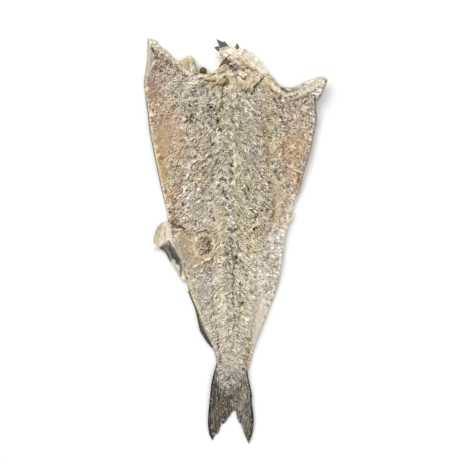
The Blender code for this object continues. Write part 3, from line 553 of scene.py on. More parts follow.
WHITE_CRUMBS = [
    (197, 195), (201, 196), (243, 212), (190, 241), (212, 187), (208, 180), (186, 163), (184, 171),
    (188, 176), (208, 190), (200, 192), (229, 270),
]
# Nicks sunk and darkened as painted shade, crests raised and lit as painted highlight, crumbs white.
STROKES += [([(x0, y0), (x1, y1)], 0.9, -1.2, UMBER, 0.75) for x0, y0, x1, y1 in NICKS]
STROKES += [(points, 0.9, 1.0, CREST_COLOUR, 0.8) for points in PALE_CRESTS]
STROKES += [([(x, y), (x + 1, y)], 1.1, 1.1, WHITE, 0.85) for x, y in WHITE_CRUMBS]
# Stains on the tail fin, in the same form.
TAIL_STROKES = [
    ([(213, 376), (209, 395), (208.5, 415), (211, 436)], 1.6, 0.0, (66, 62, 54), 0.85),
    ([(212, 366), (214, 378), (219, 388), (227, 395)], 2.6, 0.0, (74, 66, 56), 0.85),
    ([(246, 380), (249, 386), (246, 392)], 2.6, 0.0, (82, 76, 66), 0.7),
    ([(252, 385), (252.5, 405), (252, 425), (250, 440)], 1.2, 0.0, (78, 72, 60), 0.85),
    ([(217, 398), (217, 412), (216, 426)], 2.6, 0.0, (108, 90, 72), 0.6),
    ([(223, 404), (222, 414)], 1.6, 0.0, (116, 94, 76), 0.7),
    ([(244, 386), (245, 394), (242, 402)], 3.6, 0.0, (146, 142, 116), 0.8),
    ([(236, 398), (240, 406), (244, 418)], 1.8, 0.0, (146, 142, 134), 0.7),
    ([(249, 424), (249, 436)], 1.6, 0.0, (118, 104, 80), 0.6),
    ([(228, 398), (232, 406)], 2.2, 0.0, (96, 82, 64), 0.7),
    ([(244, 370), (248, 378), (251, 386)], 2.0, 0.0, (104, 98, 86), 0.8),
    ([(217, 378), (228, 389), (240, 383)], 4.2, 0.0, (158, 154, 147), 0.85),
    ([(244, 376), (249, 384)], 1.6, 0.0, (176, 170, 158), 0.7),
]
# Smooth places, places of finer crumb and salty places: pixel, radii in pixels, strength.
SMOOTH_PLACES = [
    (149, 62, 3, 26, 1.0), (165, 136, 15, 20, 1.1), (156, 92, 7, 16, 0.6), (163, 172, 6, 20, 0.7),
    (292, 150, 10, 32, 0.62), (260, 324, 6, 28, 1.3), (284, 205, 7, 18, 0.6), (183, 246, 8, 20, 1.0),
    (151, 60, 5, 14, 0.8), (250, 130, 12, 14, 0.55), (217, 223, 5, 12, 0.8), (254, 162, 6, 8, 0.6),
    (246, 165, 9, 7, 0.3), (239, 189, 8, 6, 0.3), (196, 262, 8, 6, 0.7), (195, 247, 4, 8, 0.6),
    (186, 62, 8, 8, 0.9), (230, 100, 7, 5, 0.4), (312, 88, 14, 6, 0.6), (276, 200, 4, 20, 0.7),
    (228, 364, 12, 8, 0.5), (196, 172, 12, 24, 0.22), (202, 292, 10, 34, 0.45), (268, 150, 6, 30, 0.25),
    (188, 90, 8, 5, 0.5), (214, 83, 13, 7, 0.9), (250, 84, 10, 9, 0.9), (234, 84, 6, 8, 0.8),
    (268, 86, 10, 7, 0.8),
]
FINE_PLACES = [
    (180, 82, 16, 14, 0.8), (205, 108, 12, 16, 0.8), (160, 98, 10, 14, 0.8), (176, 190, 12, 26, 0.6),
    (284, 115, 10, 20, 0.6), (268, 255, 14, 24, 0.7),
]
SALT_PLACES = [
    (188, 90, 22, 26, 2.2), (163, 110, 14, 30, 0.5), (200, 150, 20, 40, 0.8), (235, 130, 22, 40, 0.5),
    (232, 345, 16, 30, 0.9), (262, 270, 16, 30, 0.7), (200, 225, 20, 20, 0.6),
]

# Setting, in metres; lights as name, place, power in watts and side.
CAMERA_HEIGHT, SENSOR_MM, FAR_CLIP = 2.4, 36.0, 20.0
FLOOR_HALF, FLOOR_DROP = 3.0, 0.0002
WORLD_LIGHT = 0.52
LIGHTS = [
    ("key", (-0.85, 0.95, 1.75), 35.0, 1.8),
    ("fill", (1.2, -0.7, 1.6), 11.0, 1.4),
]

# The flesh on its fine grid: plan, heights of its two sides, shares across and along, painted light and
# shade, smoothness, distance from the edge, colours, and places along and across the fibres.
Field = collections.namedtuple("Field", "x y bottom top s t tone smooth gap colours flow")


def smooth_step(value, low, high):
    """0 below low, 1 above high, and a smooth rise between."""
    share = np.clip((value - low) / (high - low), 0, 1)
    return share * share * (3 - 2 * share)


def noise(x, y, cell, seed):
    """Smooth noise from -1 to 1 whose lumps are about one cell wide."""
    table = np.random.RandomState(seed).uniform(-1, 1, (64, 64))
    gx, gy = x / cell, y / cell
    ix, iy = np.floor(gx).astype(int), np.floor(gy).astype(int)
    fx, fy = gx - ix, gy - iy
    fx, fy = fx * fx * (3 - 2 * fx), fy * fy * (3 - 2 * fy)
    low = table[ix % 64, iy % 64] * (1 - fx) + table[(ix + 1) % 64, iy % 64] * fx
    high = table[ix % 64, (iy + 1) % 64] * (1 - fx) + table[(ix + 1) % 64, (iy + 1) % 64] * fx
    return low * (1 - fy) + high * fy


def along_curve(points, shares, rounded=True):
    """Points at shares of the length of the line through the given ones, rounded or with sharp corners."""
    points = np.array(points, float)
    if rounded:
        ends = np.vstack([2 * points[0] - points[1], points, 2 * points[-1] - points[-2]])
        t = np.linspace(0, 1, 9)[:-1, None]
        runs = []
        for a, b, c, d in zip(ends, ends[1:], ends[2:], ends[3:]):
            runs.append(b + 0.5 * t * (c - a + t * (2 * a - 5 * b + 4 * c - d + t * (3 * (b - c) + d - a))))
        points = np.vstack([*runs, points[-1:]])
    length = np.concatenate([[0], np.cumsum(np.linalg.norm(np.diff(points, axis=0), axis=1))])
    at = np.asarray(shares) * length[-1]
    return np.stack([np.interp(at, length, points[:, k]) for k in range(points.shape[1])], axis=1)


def patch(edges, s, t, sharp_north=False):
    """A grid that fills four edge curves, given from west to east or south to north, at shares s and t."""
    south, north, west, east = edges
    low = along_curve(south, s)[:, None]
    high = along_curve(north, s, rounded=not sharp_north)[:, None]
    left, right = along_curve(west, t)[None], along_curve(east, t)[None]
    ends = [np.array(corner, float) for corner in (south[0], south[-1], north[0], north[-1])]
    s, t = np.asarray(s)[:, None, None], np.asarray(t)[None, :, None]
    corners = (1 - s) * (1 - t) * ends[0] + s * (1 - t) * ends[1] + (1 - s) * t * ends[2] + s * t * ends[3]
    plan = (1 - s) * left + s * right + (1 - t) * low + t * high - corners
    return plan[..., 0], plan[..., 1], s[..., 0] + 0 * t[..., 0], t[..., 0] + 0 * s[..., 0]


def fold_relief(x, y, start, end, half_width, height):
    """Height of one fold or crack, a rounded ridge along a straight line that fades at its ends."""
    ax, ay = start
    dx, dy = end[0] - ax, end[1] - ay
    share = np.clip(((x - ax) * dx + (y - ay) * dy) / (dx * dx + dy * dy), 0, 1)
    gap = np.hypot(x - ax - share * dx, y - ay - share * dy)
    return height * np.exp(-((gap / half_width) ** 2)) * (0.45 + 0.55 * np.sin(math.pi * share))


def flakes(x, y, u):
    """Steps between the muscle flakes, which meet in chevrons on the midline and point to the head."""
    phase = (y + FLAKE_SLOPE * 95 * np.abs(u) ** 1.2 + 5 * noise(x, y, 22, 3)) / FLAKE_PITCH
    saw = phase - np.floor(phase)
    return FLAKE_STEP * (np.minimum(saw / 0.75, (1 - saw) / 0.25) - 0.5)


def lift(s, t):
    """How far the underside curls off the floor: not inside the curl rings, most at the collar's corners."""
    across = np.minimum(s, 1 - s) * ACROSS / CURL_RINGS
    along = np.minimum(t, 1 - t) * ALONG / CURL_RINGS
    margin = np.clip(np.minimum(across, along), 0, 1)
    u = np.abs(2 * s - 1)
    flap = 5.0 * smooth_step(t, 0.45, 0.85) * smooth_step(u, 0.6, 1)
    corner = 11.0 * smooth_step(t, 0.82, 1) * smooth_step(u, 0.7, 1)
    wave = 1.2 * np.sin(2 * math.pi * 3.4 * t + 5 * s) * smooth_step(t, 0.1, 0.3)
    return (1 - margin) ** 1.6 * (2.6 + flap + corner + wave)


def thickness(s, t):
    """Thickness of the flesh without its relief: thick loins, thin belly flaps and a shallow midline."""
    u = np.abs(2 * s - 1)
    shares, loins = zip(*LOIN_THICKNESS)
    full = np.interp(t, shares, loins)
    body = EDGE_THICKNESS + (full - EDGE_THICKNESS) * np.maximum(1 - u**2.6, 0) ** 0.6
    body *= 1 - FLAP_THINNING * smooth_step(u, 0.55, 0.8) * smooth_step(t, 0.5, 0.66)
    midline = 1.8 * np.exp(-((u / 0.1) ** 2)) * smooth_step(t, 0.32, 0.5) * (1 - smooth_step(t, 0.85, 0.95))
    rim = 1.6 * smooth_step(u, 0.84, 0.95) * smooth_step(t, 0.3, 0.5)
    collar_rim = 2.0 * smooth_step(t, 0.92, 0.98)
    return np.maximum(body - midline + rim + collar_rim, EDGE_THICKNESS)


def pit_reach(x, y):
    """Distance from the middle of the pit, which is 1 at its edge."""
    return np.hypot((x - PIT_CENTRE[0]) / PIT_RADII[0], (y - PIT_CENTRE[1]) / PIT_RADII[1])


def relief(x, y, s, t):
    """What stands on the flesh: flakes, lumps, folds, cracks and the pit, fading out at its very edge."""
    u = 2 * s - 1
    loin = 1 - smooth_step(np.abs(u), 0.6, 0.85) * smooth_step(t, 0.42, 0.55)
    height = loin * (flakes(x, y, u) + 0.9 * noise(x, y, 9, 11)) + 1.0 * noise(x, y, 26, 7)
    for start, end, half_width, fold_height in FOLDS:
        height = height + fold_relief(x, y, start, end, half_width, fold_height)
    reach = pit_reach(x, y)
    height = height - PIT_DEPTH * (1 - smooth_step(reach, 0.6, 1.0))
    height = height + PIT_RIM * np.exp(-(((reach - 1.15) / 0.2) ** 2))
    fade = np.clip(np.minimum(s, 1 - s) / 0.06, 0, 1) * np.clip(np.minimum(t, 1 - t) / 0.03, 0, 1)
    return height * fade


def at_pixel(px, py):
    """Plan position, in millimetres, of a pixel of the photograph."""
    return (px - PIXEL_X0) * PIXEL_MM, (PIXEL_Y0 - py) * PIXEL_MM


def linear(red, green, blue):
    """Linear colour of an sRGB one given as 0 to 255."""
    share = np.array([red, green, blue], float) / 255
    return np.where(share <= 0.04045, share / 12.92, ((share + 0.055) / 1.055) ** 2.4)


def mixed(colours, others, share):
    """Colours moved towards others by a share from 0 to 1."""
    return colours + (others - colours) * np.asarray(share)[..., None]


def painted(colours, colour, share):
    """Colours moved towards one sRGB colour by a share from 0 to 1."""
    return mixed(colours, linear(*colour), share)


def plain(x, colour):
    """One sRGB colour at every point of x, in linear values."""
    return np.ones(x.shape + (3,)) * linear(*colour)


def toned(colours, tone):
    """Colours made lighter or darker by the same amount of grey, as light and shade do in the photograph."""
    return np.clip(colours ** (1 / 2.2) + TONE_GAIN * tone[..., None], 0.08, 0.97) ** 2.2


def ripple(x, y, seed):
    """Gradient noise from about -1 to 1 over squares of side 1."""
    turns = np.random.RandomState(seed).uniform(0, 2 * math.pi, (128, 128))
    ix, iy = np.floor(x).astype(int), np.floor(y).astype(int)
    fx, fy = x - ix, y - iy
    ease_x = fx**3 * (fx * (fx * 6 - 15) + 10)
    ease_y = fy**3 * (fy * (fy * 6 - 15) + 10)
    total = np.zeros(np.shape(fx))
    for dx, share_x in ((0, 1 - ease_x), (1, ease_x)):
        for dy, share_y in ((0, 1 - ease_y), (1, ease_y)):
            turn = turns[(ix + dx) % 128, (iy + dy) % 128]
            slope = np.cos(turn) * (fx - dx) + np.sin(turn) * (fy - dy)
            total += slope * share_x * share_y
    return 1.5 * total


def waves(x, y, size, seed):
    """Gradient noise from about -1 to 1 over squares of a size."""
    return ripple(x / size, y / size, seed)


def stirred(x, y, *swings):
    """Plan positions shifted unevenly by swings, each with its reach, size and seeds along x and y."""
    wx, wy = x, y
    for reach, size, seed_x, seed_y in swings:
        wx = wx + reach * waves(x, y, size, seed_x)
        wy = wy + reach * waves(x, y, size, seed_y)
    return wx, wy


def between(value, start, full, fade, end):
    """1 from full to fade, falling smoothly to 0 at start and at end."""
    return smooth_step(value, start, full) * (1 - smooth_step(value, fade, end))


def crests(x, y, seed):
    """Sharp winding crests over squares of side 1: 1 on a crest, down to about -1 between two."""
    return 1 - 2.6 * np.minimum(np.abs(ripple(x, y, seed)), 0.75)


def threads(x, y, seed):
    """Thin winding threads over squares of side 1: 1 on a thread and 0 between."""
    return np.exp(-((ripple(x, y, seed) / 0.17) ** 2))


def scraps(x, y, seed):
    """Overlapping torn scraps with free edges along x: height from 0 to 1, and light and shade at edges."""
    phase = y + 0.9 * ripple(x / 2.2, y / 1.6, seed) + 0.35 * ripple(x * 1.1, y * 0.9, seed + 1)
    saw = phase - np.floor(phase)
    light = np.exp(-(((saw - 0.2) / 0.11) ** 2))
    shade = np.exp(-(((saw - 0.94) / 0.12) ** 2)) + np.exp(-(((saw + 0.06) / 0.12) ** 2))
    return np.minimum(saw / 0.16, (1 - saw) / 0.84), light - 1.1 * shade


def edge_gap(x, y, outline):
    """Distance of each grid point from a closed outline, in millimetres."""
    start, end = outline, np.roll(outline, -1, axis=0)
    run = end - start
    square = np.maximum((run**2).sum(1), 1e-9)
    gaps = np.empty(x.shape)
    for i in range(x.shape[0]):
        dx = x[i][:, None] - start[None, :, 0]
        dy = y[i][:, None] - start[None, :, 1]
        share = np.clip((dx * run[:, 0] + dy * run[:, 1]) / square, 0, 1)
        gaps[i] = np.hypot(dx - share * run[:, 0], dy - share * run[:, 1]).min(1)
    return gaps


def blob(x, y, px, py, rx, ry):
    """1 at a pixel of the photograph, falling to 0 a little beyond the given radii in pixels."""
    cx, cy = at_pixel(px, py)
    return np.exp(-((x - cx) / (rx * PIXEL_MM)) ** 2 - ((y - cy) / (ry * PIXEL_MM)) ** 2)


# Fine crumb and fibres of the flesh
def crumb(x, y):
    """The torn flesh's relief in millimetres, its painted light and shade, and the places along and across
    its fibres.

    The fibres run in chevrons that meet on the midline and point to the head.
    """
    wx, wy = stirred(x, y, (2.8, 9, 41, 42), (0.5, 3.2, 48, 49))
    side = np.abs(wx - x[len(x) // 2][None])
    along = wy * math.sin(CHEVRON_TURN) - side * math.cos(CHEVRON_TURN)
    over = wy * math.cos(CHEVRON_TURN) + side * math.sin(CHEVRON_TURN)
    scrap, scrap_light_shade = scraps(along / SCRAP_PITCH, over / SCRAP_PITCH, 43)
    curls = threads((x + wx) / 8.4, (y + wy) / 8.4, 57)
    thread = np.maximum(threads(along / 12, over / 3.9, 53), 0.8 * curls)
    fine_thread = threads(along / 6.5, over / 2.1, 58)
    plate, plate_light_shade = scraps((wx + 0.6 * wy) / 13, (wy - 0.3 * wx) / 12, 60)
    lumps = waves(wx, wy, 7, 45) + 0.8 * waves(x, y, 15, 50)
    bits = 0.6 * crests(x / 2.6, y / 2.6, 47) + 0.5 * crests(x / 1.9, y / 1.9, 54)
    finer = np.maximum(places(x, y, FINE_PLACES), 0.7 * smooth_step(-y, FINER_FROM, FINER_TO))
    scrap_share = np.clip(0.6 + 0.9 * waves(x, y, 17, 55), 0.1, 1) * (1 - 0.75 * finer)
    thread_share = np.clip(0.7 + 0.8 * waves(x, y, 13, 56), 0.15, 1.2) * (1 - 0.4 * finer)
    bit_share = np.clip(0.8 + 0.6 * waves(x, y, 11, 46), 0.3, 1.4) * (1 + 0.25 * finer)
    height = (
        SCRAP_RELIEF * scrap * scrap_share + CREST_RELIEF * thread * thread_share + PLATE_RELIEF * plate
        + LUMP_RELIEF * lumps * (1 - 0.4 * finer) + FINE_RELIEF * (bits + fine_thread) * bit_share
    )
    # Painted highlight on crests, threads and lit scrap edges, partly the pale threads' own colour, and
    # painted shade below edges.
    tone = (
        0.34 * scrap_light_shade * scrap_share + 0.78 * thread * thread_share + 0.14 * plate_light_shade
        + (0.16 * bits + 0.85 * fine_thread) * bit_share
    )
    stir = np.clip(1 + 0.9 * ripple(x / 8, y / 9, 65), 0.4, 1.5)
    stir = stir * (1 - 0.38 * smooth_step(-y, FINER_FROM, FINER_TO))
    flow = np.stack([FLOW_STRETCH * along, over], -1)
    return height * (0.4 + 0.6 * stir), (tone - blurred(tone, 5)) * stir, flow


# Single folds, cracks, stains and places
def stroke_share(x, y, pixels, half_width):
    """1 along a line through pixels of the photograph, falling to 0 beside it and towards its ends."""
    points = [at_pixel(px, py) for px, py in pixels]
    total = np.zeros(x.shape)
    count = len(points) - 1
    for k, ((ax, ay), (bx, by)) in enumerate(zip(points, points[1:])):
        dx, dy = bx - ax, by - ay
        along = np.clip(((x - ax) * dx + (y - ay) * dy) / (dx * dx + dy * dy), 0, 1)
        gap = np.hypot(x - ax - along * dx, y - ay - along * dy)
        taper = 0.35 + 0.65 * np.sin(math.pi * np.clip((k + along) / count, 0, 1)) ** 0.5
        total = np.maximum(total, np.exp(-((gap / (half_width * PIXEL_MM * taper)) ** 2)))
    return total


def strokes(x, y, listed):
    """Height of the listed folds and cracks together, and each one's share at every point."""
    wx, wy = stirred(x, y, (1.9, 7, 79, 80), (0.5, 2.2, 70, 69))
    height = np.zeros(x.shape)
    shares = []
    for pixels, half_width, rise, _, _ in listed:
        share = stroke_share(wx, wy, pixels, half_width)
        height = height + rise * share
        shares.append(share)
    return height, shares


def stroked(colours, shares, listed):
    """Colours with the colour of each listed fold, crack, stain, painted highlight or painted shadow over
    them.
    """
    for share, (_, _, _, colour, strength) in zip(shares, listed):
        colours = painted(colours, colour, strength * share)
    return colours


def places(x, y, listed):
    """Sum of the listed places' strengths, from 0 to 1, with uneven borders."""
    wx, wy = stirred(x, y, (5, 14, 51, 52))
    total = np.zeros(x.shape)
    for px, py, rx, ry, strength in listed:
        total = total + strength * blob(wx, wy, px, py, rx, ry)
    return np.clip(total, 0, 1)


def blurred(values, cells):
    """A grid of values averaged over a square of cells, twice."""
    for _ in range(2):
        for axis in (0, 1):
            padded = np.concatenate([
                np.repeat(values.take([0], axis), cells + 1, axis), values,
                np.repeat(values.take([-1], axis), cells, axis),
            ], axis)
            sums = padded.cumsum(axis)
            width = 2 * cells + 1
            count = values.shape[axis]
            values = (sums.take(range(width, width + count), axis) - sums.take(range(count), axis)) / width
    return values


# Mesh making
def placed(name, data):
    """A new object in the scene for a mesh, light or camera."""
    thing = bpy.data.objects.new(name, data)
    bpy.context.scene.collection.objects.link(thing)
    return thing


def make_piece(name, points, faces, colours, material, grain=None, flow=None):
    """A smooth-shaded piece of the fish from points in millimetres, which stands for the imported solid.

    The materials read its layers: tint, the linear colour; grain, the strength of the fine grain; and flow,
    the places along and across the fibres.
    """
    mesh = bpy.data.meshes.new(name)
    mesh.from_pydata((np.asarray(points) * MM).tolist(), [], faces)
    rgba = np.ones((len(points), 4), np.float32)
    rgba[:, :3] = np.clip(colours, 0, 1)
    layer = mesh.color_attributes.new("tint", "FLOAT_COLOR", "POINT")
    layer.data.foreach_set("color", rgba.ravel())
    share = mesh.attributes.new("grain", "FLOAT", "POINT")
    share.data.foreach_set("value", np.ones(len(points)) if grain is None else np.clip(grain, 0, 1))
    place = np.zeros((len(points), 3))
    place[:, :2] = np.asarray(points)[:, :2] if flow is None else flow
    layer = mesh.attributes.new("flow", "FLOAT_VECTOR", "POINT")
    layer.data.foreach_set("vector", place.ravel())
    mesh.materials.append(material)
    mesh.shade_smooth()
    mesh.validate()
    piece = placed(name, mesh)
    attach(piece, "root")
    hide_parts("dried_fish")


def numbered(shape, steps):
    """Vertex numbers of a grid whose row j keeps each steps[j]-th column, -1 elsewhere, and what it keeps."""
    keep = np.zeros(shape, bool)
    for j, step in enumerate(steps):
        keep[::step, j] = True
    numbers = np.full(shape, -1)
    numbers[keep] = np.arange(keep.sum())
    return numbers, keep


def stepped_faces(numbers, steps):
    """Faces of such a grid, with one more corner where a row has twice as many columns as the next."""
    faces = []
    for j in range(numbers.shape[1] - 1):
        low, high = steps[j], steps[j + 1]
        step = max(low, high)
        for i in range(0, numbers.shape[0] - 1, step):
            face = [numbers[i, j]]
            if low < step:
                face.append(numbers[i + low, j])
            face += [numbers[i + step, j], numbers[i + step, j + 1]]
            if high < step:
                face.append(numbers[i + high, j + 1])
            face.append(numbers[i, j + 1])
            faces.append([int(number) for number in face])
    return faces


def underside_faces(numbers, inner, columns, rows):
    """Large faces below a stepped grid that share its outer vertices and use inner's numbers inside it."""
    last_i, last_j = numbers.shape[0] - 1, numbers.shape[1] - 1

    def line(i0, j0, i1, j1):
        """Numbers along one side of a large face, without its last corner."""
        outer = (j0 == j1 and j0 in (0, last_j)) or (i0 == i1 and i0 in (0, last_i))
        if not outer:
            return [number_at(i0, j0)]
        count = max(abs(i1 - i0), abs(j1 - j0))
        found = []
        for k in range(count):
            number = numbers[i0 + (i1 - i0) * k // count, j0 + (j1 - j0) * k // count]
            if number >= 0:
                found.append(int(number))
        return found

    def number_at(i, j):
        """The grid's own number on its border, and inner's number inside."""
        return int(numbers[i, j]) if i in (0, last_i) or j in (0, last_j) else inner[i, j]

    faces = []
    for i0, i1 in zip(columns, columns[1:]):
        for j0, j1 in zip(rows, rows[1:]):
            corners = [(i0, j0), (i0, j1), (i1, j1), (i1, j0)]
            face = []
            for (a, b), (c, d) in zip(corners, corners[1:] + corners[:1]):
                face += line(a, b, c, d)
            faces.append(face)
    return faces


def slab_mesh(x, y, top, bottom):
    """Points and quads of a closed sheet between two height fields over one full grid."""
    across, along = x.shape
    upper = np.arange(across * along).reshape(across, along)
    lower = upper + across * along
    points = np.concatenate([
        np.stack([x, y, top], -1).reshape(-1, 3),
        np.stack([x, y, bottom], -1).reshape(-1, 3),
    ])

    def quads(numbers, turned):
        """Squares of the grid, turned over for its lower side."""
        corners = [numbers[:-1, :-1], numbers[1:, :-1], numbers[1:, 1:], numbers[:-1, 1:]]
        rows = np.stack(corners, -1).reshape(-1, 4)
        return (rows[:, ::-1] if turned else rows).tolist()

    faces = quads(upper, False) + quads(lower, True)
    here = np.array(ring(0, across - 1, 0, along - 1))
    there = np.roll(here, -1, axis=0)
    wall = np.stack([
        lower[here[:, 0], here[:, 1]], lower[there[:, 0], there[:, 1]],
        upper[there[:, 0], there[:, 1]], upper[here[:, 0], here[:, 1]],
    ], -1)
    return points, faces + wall.tolist()


def make_slab(name, x, y, top, bottom, colours, material):
    """A piece that is one closed sheet between two height fields, with the same colours on both sides."""
    points, faces = slab_mesh(x, y, top, bottom)
    make_piece(name, points, faces, both_sides(colours), material)


def both_sides(colours):
    """A grid's colours as one list for the upper and the lower side of its sheet."""
    return np.concatenate([colours.reshape(-1, 3)] * 2)


def ring(i0, i1, j0, j1):
    """Grid positions once round a rectangle."""
    south = [(i, j0) for i in range(i0, i1)]
    east = [(i1, j) for j in range(j0, j1)]
    north = [(i, j1) for i in range(i1, i0, -1)]
    west = [(i0, j) for j in range(j1, j0, -1)]
    return south + east + north + west


# Colours of the flesh
def zone_colours(x, y):
    """Base colour from the named places of the flesh, with uneven borders between them."""
    wx, wy = stirred(x, y, (9, 21, 61, 63), (3, 6, 62, 64))
    total = 0.02 * np.ones(x.shape)
    colours = total[..., None] * linear(*BODY_COLOUR)
    for _, px, py, rx, ry, colour in ZONES:
        weight = blob(wx, wy, px, py, rx, ry)
        total = total + weight
        colours = colours + weight[..., None] * linear(*colour)
    return colours / total[..., None]


def flesh_colours(x, y, t, tone, smooth, gap, fold_shares):
    """Flesh colour at each point: zone and mottle, folds, painted light on crests, painted shade in hollows,
    rim.
    """
    colours = zone_colours(x, y)
    mottled = 1 - 0.75 * smooth
    bloom = smooth_step(ripple(x / 13, y / 17, 73) + 0.5 * waves(x, y, 5, 74), 0.0, 0.8)
    colours = painted(colours, BLOOM_COLOUR, 0.75 * bloom * mottled)
    stain = smooth_step(ripple(x / 9, y / 14, 75) + 0.5 * waves(x, y, 5, 76), 0.1, 0.9)
    colours = painted(colours, STAIN_COLOUR, 0.75 * stain * mottled)
    colours = stroked(colours, fold_shares, STROKES)
    reach = pit_reach(x, y)
    colours = painted(colours, PIT_COLOUR, 0.7 * (1 - smooth_step(reach, 0.7, 1.05)))
    rim = (1 - smooth_step(gap + 0.8 * waves(x, y, 8, 59), 1.6, 3.6)) * smooth_step(t, 0.3, 0.42)
    left_share = (1 - smooth_step(x, -60, -40)) * (1 - smooth_step(y, 165, 185))
    colours = painted(colours, RIM_COLOUR, (0.3 + 0.5 * left_share) * rim)
    # Lower right rim and cut edge painted pale: partly their own colour, partly painted light against edge
    # shade.
    lower_right = smooth_step(x, 10, 22) * (1 - smooth_step(y, 45, 75))
    lit_rim = (1 - smooth_step(gap + 0.8 * waves(x, y, 8, 57), 1.6, 3.4)) * lower_right
    colours = painted(colours, PALE_RIM_COLOUR, 0.6 * lit_rim)
    colours = painted(colours, LIT_CUT_EDGE_COLOUR, (1 - smooth_step(gap, 0.5, 1.8)) * lower_right)
    speck = smooth_step(waves(x, y, 1.9, 71), 0.35, 0.7) * smooth_step(waves(x, y, 10, 72), -0.5, 0.3)
    tone = np.clip(tone, -0.9, 1.1) - 0.35 * speck * mottled
    return toned(colours * ALBEDO_GAIN, tone)


def flesh_field():
    """The flesh on its fine grid."""
    s = np.linspace(FLESH_INSET, 1 - FLESH_INSET, FLESH_ACROSS + 1)
    t = np.linspace(FLESH_INSET / 2, 1 - FLESH_INSET / 2, FLESH_ALONG + 1)
    x, y, s, t = patch(FISH_EDGES, s, t)
    outline = np.array([(x[i, j], y[i, j]) for i, j in ring(0, FLESH_ACROSS, 0, FLESH_ALONG)])
    gap = edge_gap(x, y, outline)
    smooth = places(x, y, SMOOTH_PLACES)
    fold_height, fold_shares = strokes(x, y, STROKES)
    rough, tone, flow = crumb(x, y)
    calm = (1 - 0.8 * smooth) * smooth_step(gap, 0.2, 2.6) * (1 - 0.65 * np.max(fold_shares, axis=0))
    rough, tone = rough * calm, tone * calm
    # Painted light and shade: crests lighter and hollows darker, slopes facing LIT_SIDE lighter, slopes
    # turned from it darker.
    both = rough + 1.4 * fold_height
    tone = tone + 0.2 * np.clip((both - blurred(both, 4)) / 1.2, -1.2, 1)
    slope = LIT_SIDE[0] * np.gradient(both, axis=0) / np.maximum(np.gradient(x, axis=0), 0.1)
    slope = slope + LIT_SIDE[1] * np.gradient(both, axis=1) / np.maximum(np.gradient(y, axis=1), 0.1)
    tone = tone + 0.24 * np.tanh(1.2 * slope)
    bottom = lift(s, t) + SKIN_THICKNESS / 2
    torn = stirred(x, y, (3.2, 6.5, 77, 78))
    full = thickness(s, t) + relief(*torn, s, t) + rough - 0.9 + fold_height
    full = np.maximum(full, LEAST_THICKNESS)
    full = full * np.sqrt(1 - (1 - np.clip(gap / EDGE_ROUNDING, 0, 1)) ** 2)
    full = full * (0.45 + 0.55 * smooth_step(t, 0.0, 0.06))
    colours = flesh_colours(x, y, t, tone, smooth, gap, fold_shares)
    return Field(x, y, bottom, bottom + full, s, t, tone, smooth, gap, colours, flow)


def build_flesh(field, material):
    """The flesh as one closed piece: a fine top and a coarse hidden underside."""
    steps = [4 if share < COARSE_TO else 2 if share < MEDIUM_TO else 1 for share in field.t[0]]
    numbers, keep = numbered(field.x.shape, steps)
    above = np.stack([field.x[keep], field.y[keep], field.top[keep]], -1)
    columns = list(range(0, FLESH_ACROSS + 1, UNDERSIDE_ACROSS))
    rows = list(range(0, FLESH_ALONG + 1, UNDERSIDE_ALONG))
    inner, below = {}, []
    for i in columns[1:-1]:
        for j in rows[1:-1]:
            inner[i, j] = len(above) + len(below)
            below.append((field.x[i, j], field.y[i, j], field.bottom[i, j]))
    below = np.array(below)
    points = np.concatenate([above, below])
    faces = stepped_faces(numbers, steps) + underside_faces(numbers, inner, columns, rows)
    tints = np.concatenate([field.colours[keep], plain(below[:, 0], BODY_COLOUR)])
    grain = np.concatenate([1 - 0.85 * field.smooth[keep], np.ones(len(below))])
    flow = np.concatenate([field.flow[keep], below[:, :2]])
    make_piece("flesh", points, faces, tints, material, grain, flow)


